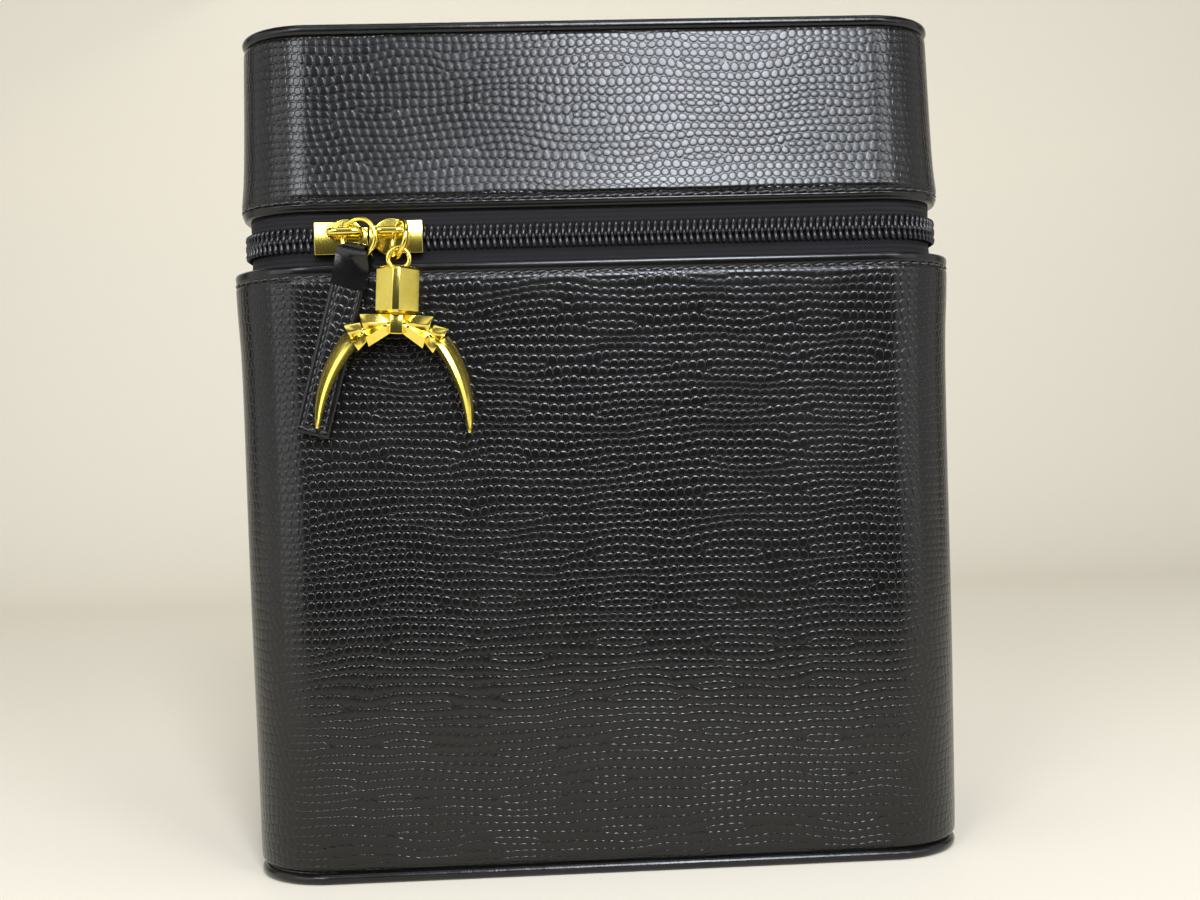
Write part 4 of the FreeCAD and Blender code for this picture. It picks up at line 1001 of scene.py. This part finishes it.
def folded_loop():
    """Sheet of leather folded over the ring: its plies lie on the tongue's two faces. The fold
    follows the ring's wire, which crosses the strap at a slant, and narrows to clear its ends."""
    ply, half, bend, rise = 0.5 * MM, 0.80 * MM, 2.1 * MM, 0.65 * MM
    foot, slant, back_share = -7.0 * MM, math.radians(-18), 0.7
    width, drawn_in, trimmed = 7.6 * MM, 0.6 * MM, 0.37
    back = [(0.0, foot), (0.04 * MM, -6.0 * MM), (0.08 * MM, -4.4 * MM), (0.28 * MM, -2.6 * MM)]
    front = [(0.45 * MM, -2.6 * MM), (0.2 * MM, -4.4 * MM), (0.12 * MM, -6.0 * MM), (0.02 * MM, foot)]
    line = [(half + off, z) for off, z in back]
    turns = 12
    for n in range(turns + 1):
        angle = math.radians(-38 + 256 * n / turns)
        reach = bend * math.cos(angle)
        line.append((reach * back_share if reach > 0 else reach, rise + bend * math.sin(angle)))
    line += [(-half - off, z) for off, z in front]
    mesh = bmesh.new()
    columns = 9
    layers = []
    for offset in (-ply / 2, ply / 2):
        layer = []
        for n, (y, z) in enumerate(line):
            before, after = line[max(n - 1, 0)], line[min(n + 1, len(line) - 1)]
            along = Vector((after[0] - before[0], after[1] - before[1])).normalized()
            wide = width - drawn_in * part_way(z, -0.5 * MM, 2.3 * MM) ** 1.5
            wide *= 1 - trimmed * part_way(z, 0.4 * MM, 2.3 * MM)
            turned = Matrix.Rotation(slant * part_way(z, -2.2 * MM, 0.0), 3, "Z")
            layer.append([mesh.verts.new(turned @ Vector((wide * (column / (columns - 1) - 0.5),
                                                          y + along.y * offset, z - along.x * offset)))
                          for column in range(columns)])
        layers.append(layer)
    close_sheet(mesh, *layers)
    return hung("strap_fold", mesh)


strap_fold = folded_loop()
dress(strap_fold, smooth_leather, "strap_pull", "smooth_leather", "strap_loop")

tongue_half_width, tongue_half_depth = 3.7 * MM, 0.72 * MM
tongue_top, tongue_foot = -2.1 * MM, -40.0 * MM
tongue_border = 1.25 * MM


def tongue_mesh():
    """Two plies of leather with a soft cushion between the lines of stitching."""
    mesh = bmesh.new()
    hide = mesh.verts.layers.float_vector.new("hide")
    columns, rows = 22, 96
    groove_depth, groove_half = 0.24 * MM, 0.28 * MM
    roll_depth, roll_width = 0.40 * MM, 0.75 * MM
    cushion_rise, cushion_slope = 0.10 * MM, 1.2 * MM
    sheets = []
    for face in (-1, 1):
        grid = []
        for row in range(rows + 1):
            z = tongue_top + (tongue_foot - tongue_top) * row / rows
            line = []
            for column in range(columns + 1):
                x = tongue_half_width * (2 * column / columns - 1)
                edge = min(tongue_half_width - abs(x), z - tongue_foot)
                groove = groove_depth * math.exp(-((edge - tongue_border) / groove_half) ** 2)
                roll = roll_depth * max(0.0, 1 - edge / roll_width) ** 2
                cushion = cushion_rise * part_way(edge, tongue_border, tongue_border + cushion_slope)
                point = mesh.verts.new((x, face * (tongue_half_depth - groove - roll + cushion), z))
                point[hide] = (x, z, 1.0 if edge > tongue_border else 0.0)
                line.append(point)
            grid.append(line)
        sheets.append(grid)
    close_sheet(mesh, *sheets)
    return mesh


strap_leather_tongue = hung("strap_leather_tongue", tongue_mesh())
dress(strap_leather_tongue, wall_leather, "strap_pull", "embossed_leather", "strap_tongue")
strap_pitch = 1.9 * MM
strap_stitch = stitch(0.84 * strap_pitch, [(1, 0.14, 0), (0.8, -0.03, 0), (0.3, -0.14, 0)],
                      [0.14, 0.21, 0.26])
side_line = tongue_half_width - tongue_border
foot_line = tongue_foot + tongue_border
sewn_from, sewn_to = 7.4 * MM, -foot_line - 0.4 * strap_pitch
thread_bed = tongue_half_depth - 0.16 * MM
for face, facing in (("front", 1), ("back", -1)):
    surface = Matrix.Translation((0, -facing * thread_bed, 0))
    upright = Matrix(((0, 0, facing, 0), (0, facing, 0, 0), (-1, 0, 0, 0), (0, 0, 0, 1)))
    level = Matrix.Diagonal((facing, facing, 1, 1))
    for name, points, turn in (
            ("left", [(sewn_from, 0, -side_line), (sewn_to, 0, -side_line)], upright),
            ("right", [(sewn_from, 0, side_line), (sewn_to, 0, side_line)], upright),
            ("foot", [(-side_line, 0, foot_line), (side_line, 0, foot_line)], level)):
        stitches = repeat_along("strap_stitches_%s_%s" % (face, name), points, strap_stitch, strap_pitch,
                                bonded_thread)
        stitches.data.transform(strap_frame @ surface @ turn)
        dress(stitches, bonded_thread, "strap_pull", "smooth_leather")


# Charm pull: a cast and gold-plated ornament of two horns. An eye is let into a faceted cap, and
# a neck below it carries on each side two flared collars and a grooved horn.
gilt("charm_cap_casting", "charm_cap", "charm", 0.12 * MM, crease=20)
gilt("charm_neck", "charm_yoke", "charm", 0.25 * MM)
gilt("charm_eye_loop", "charm_eye", "charm", 0, flat=False)
for side in ("left", "right"):
    gilt(side + "_horn_casting", side + "_horn", "charm", 0.10 * MM, crease=25)


# Studio: a pale sheet of card that runs from the table up behind the case, in a dim room. Soft
# lamps stand above, high in front, low at both front corners, at the sides and, weakly, behind.
# The camera stands level and close.
card_rise, card_bend, card_back, card_front, card_half = 1.6, 0.35, 0.95, -0.3, 1.9
bend_steps = 24
card_line = [(card_front, 0.0)]
for n in range(bend_steps + 1):
    angle = math.pi / 2 * n / bend_steps
    card_line.append((card_back - card_bend + card_bend * math.sin(angle), card_bend * (1 - math.cos(angle))))
card_line.append((card_back, card_rise))
card_mesh = bpy.data.meshes.new("card")
card_mesh.from_pydata([(side * card_half, y, z) for y, z in card_line for side in (-1, 1)], [],
                      [(2 * n, 2 * n + 1, 2 * n + 3, 2 * n + 2) for n in range(len(card_line) - 1)])
card_mesh.shade_smooth()
card = in_scene("card", card_mesh)
pale_card, tree, shader = new_material("pale_card")
tooth = noise_node(tree, object_coordinates(tree), 900, 4.0, 0.6)
feed(shader, {"Base Color": mix_colours(tree, tooth, (0.84, 0.78, 0.65), (0.88, 0.82, 0.69)),
              "Roughness": 0.75, "Specular IOR Level": 0.2})
put_on(card_mesh, pale_card)

scene = bpy.context.scene
scene.world = bpy.data.worlds.new("studio")
scene.world.use_nodes = True
feed(scene.world.node_tree.nodes["Background"], {"Color": (0.90, 0.93, 1.0, 1), "Strength": 0.05})
white, cool, cooler = (1, 1, 1), (0.92, 0.95, 1.0), (0.88, 0.92, 1.0)


def softbox(name, place, target, size, watts, colour=white):
    lamp = bpy.data.lights.new(name, "AREA")
    lamp.color = colour
    lamp.shape = "RECTANGLE"
    lamp.size, lamp.size_y = size
    lamp.energy = watts
    holder = in_scene(name, lamp)
    holder.location = place
    holder.rotation_euler = (Vector(target) - Vector(place)).to_track_quat("-Z", "Y").to_euler()


body_middle = (0, 0, 0.12)
softbox("overhead", (0.10, -0.25, 1.15), (0, 0.05, 0.10), (1.1, 0.6), 2.8)
softbox("front_high", (0.15, -1.1, 0.72), (0, 0, 0.15), (0.27, 0.65), 15, cooler)
softbox("front_left", (-0.48, -1.0, 0.60), body_middle, (0.34, 0.5), 4.6, cool)
softbox("front_right", (0.60, -0.95, 0.60), body_middle, (0.34, 0.5), 3.8, cool)
softbox("low_left", (-0.85, -0.75, 0.28), body_middle, (0.6, 0.7), 2.3)
softbox("low_right", (0.85, -0.75, 0.28), body_middle, (0.6, 0.7), 1.6)
softbox("side_left", (-0.98, -0.15, 0.35), body_middle, (0.9, 0.9), 2.0)
softbox("side_right", (0.98, -0.15, 0.35), body_middle, (0.9, 0.9), 1.6)
softbox("rear", (-0.25, 0.80, 0.72), body_middle, (0.7, 0.5), 0.9)

scene.view_settings.view_transform = "Standard"
lens = bpy.data.cameras.new("photo_camera")
lens.sensor_width = 36
lens.lens = 45
camera = in_scene("photo_camera", lens)
yaw, roll = -0.048, 0.031
right, ahead, up = (Matrix.Rotation(yaw, 3, "Z") @ Matrix.Rotation(roll, 3, "Y")).col
pose = Matrix((right, up, -ahead)).transposed().to_4x4()
pose.translation = (-16.7 * MM, -387 * MM, 94 * MM)
camera.matrix_world = pose
scene.camera = camera
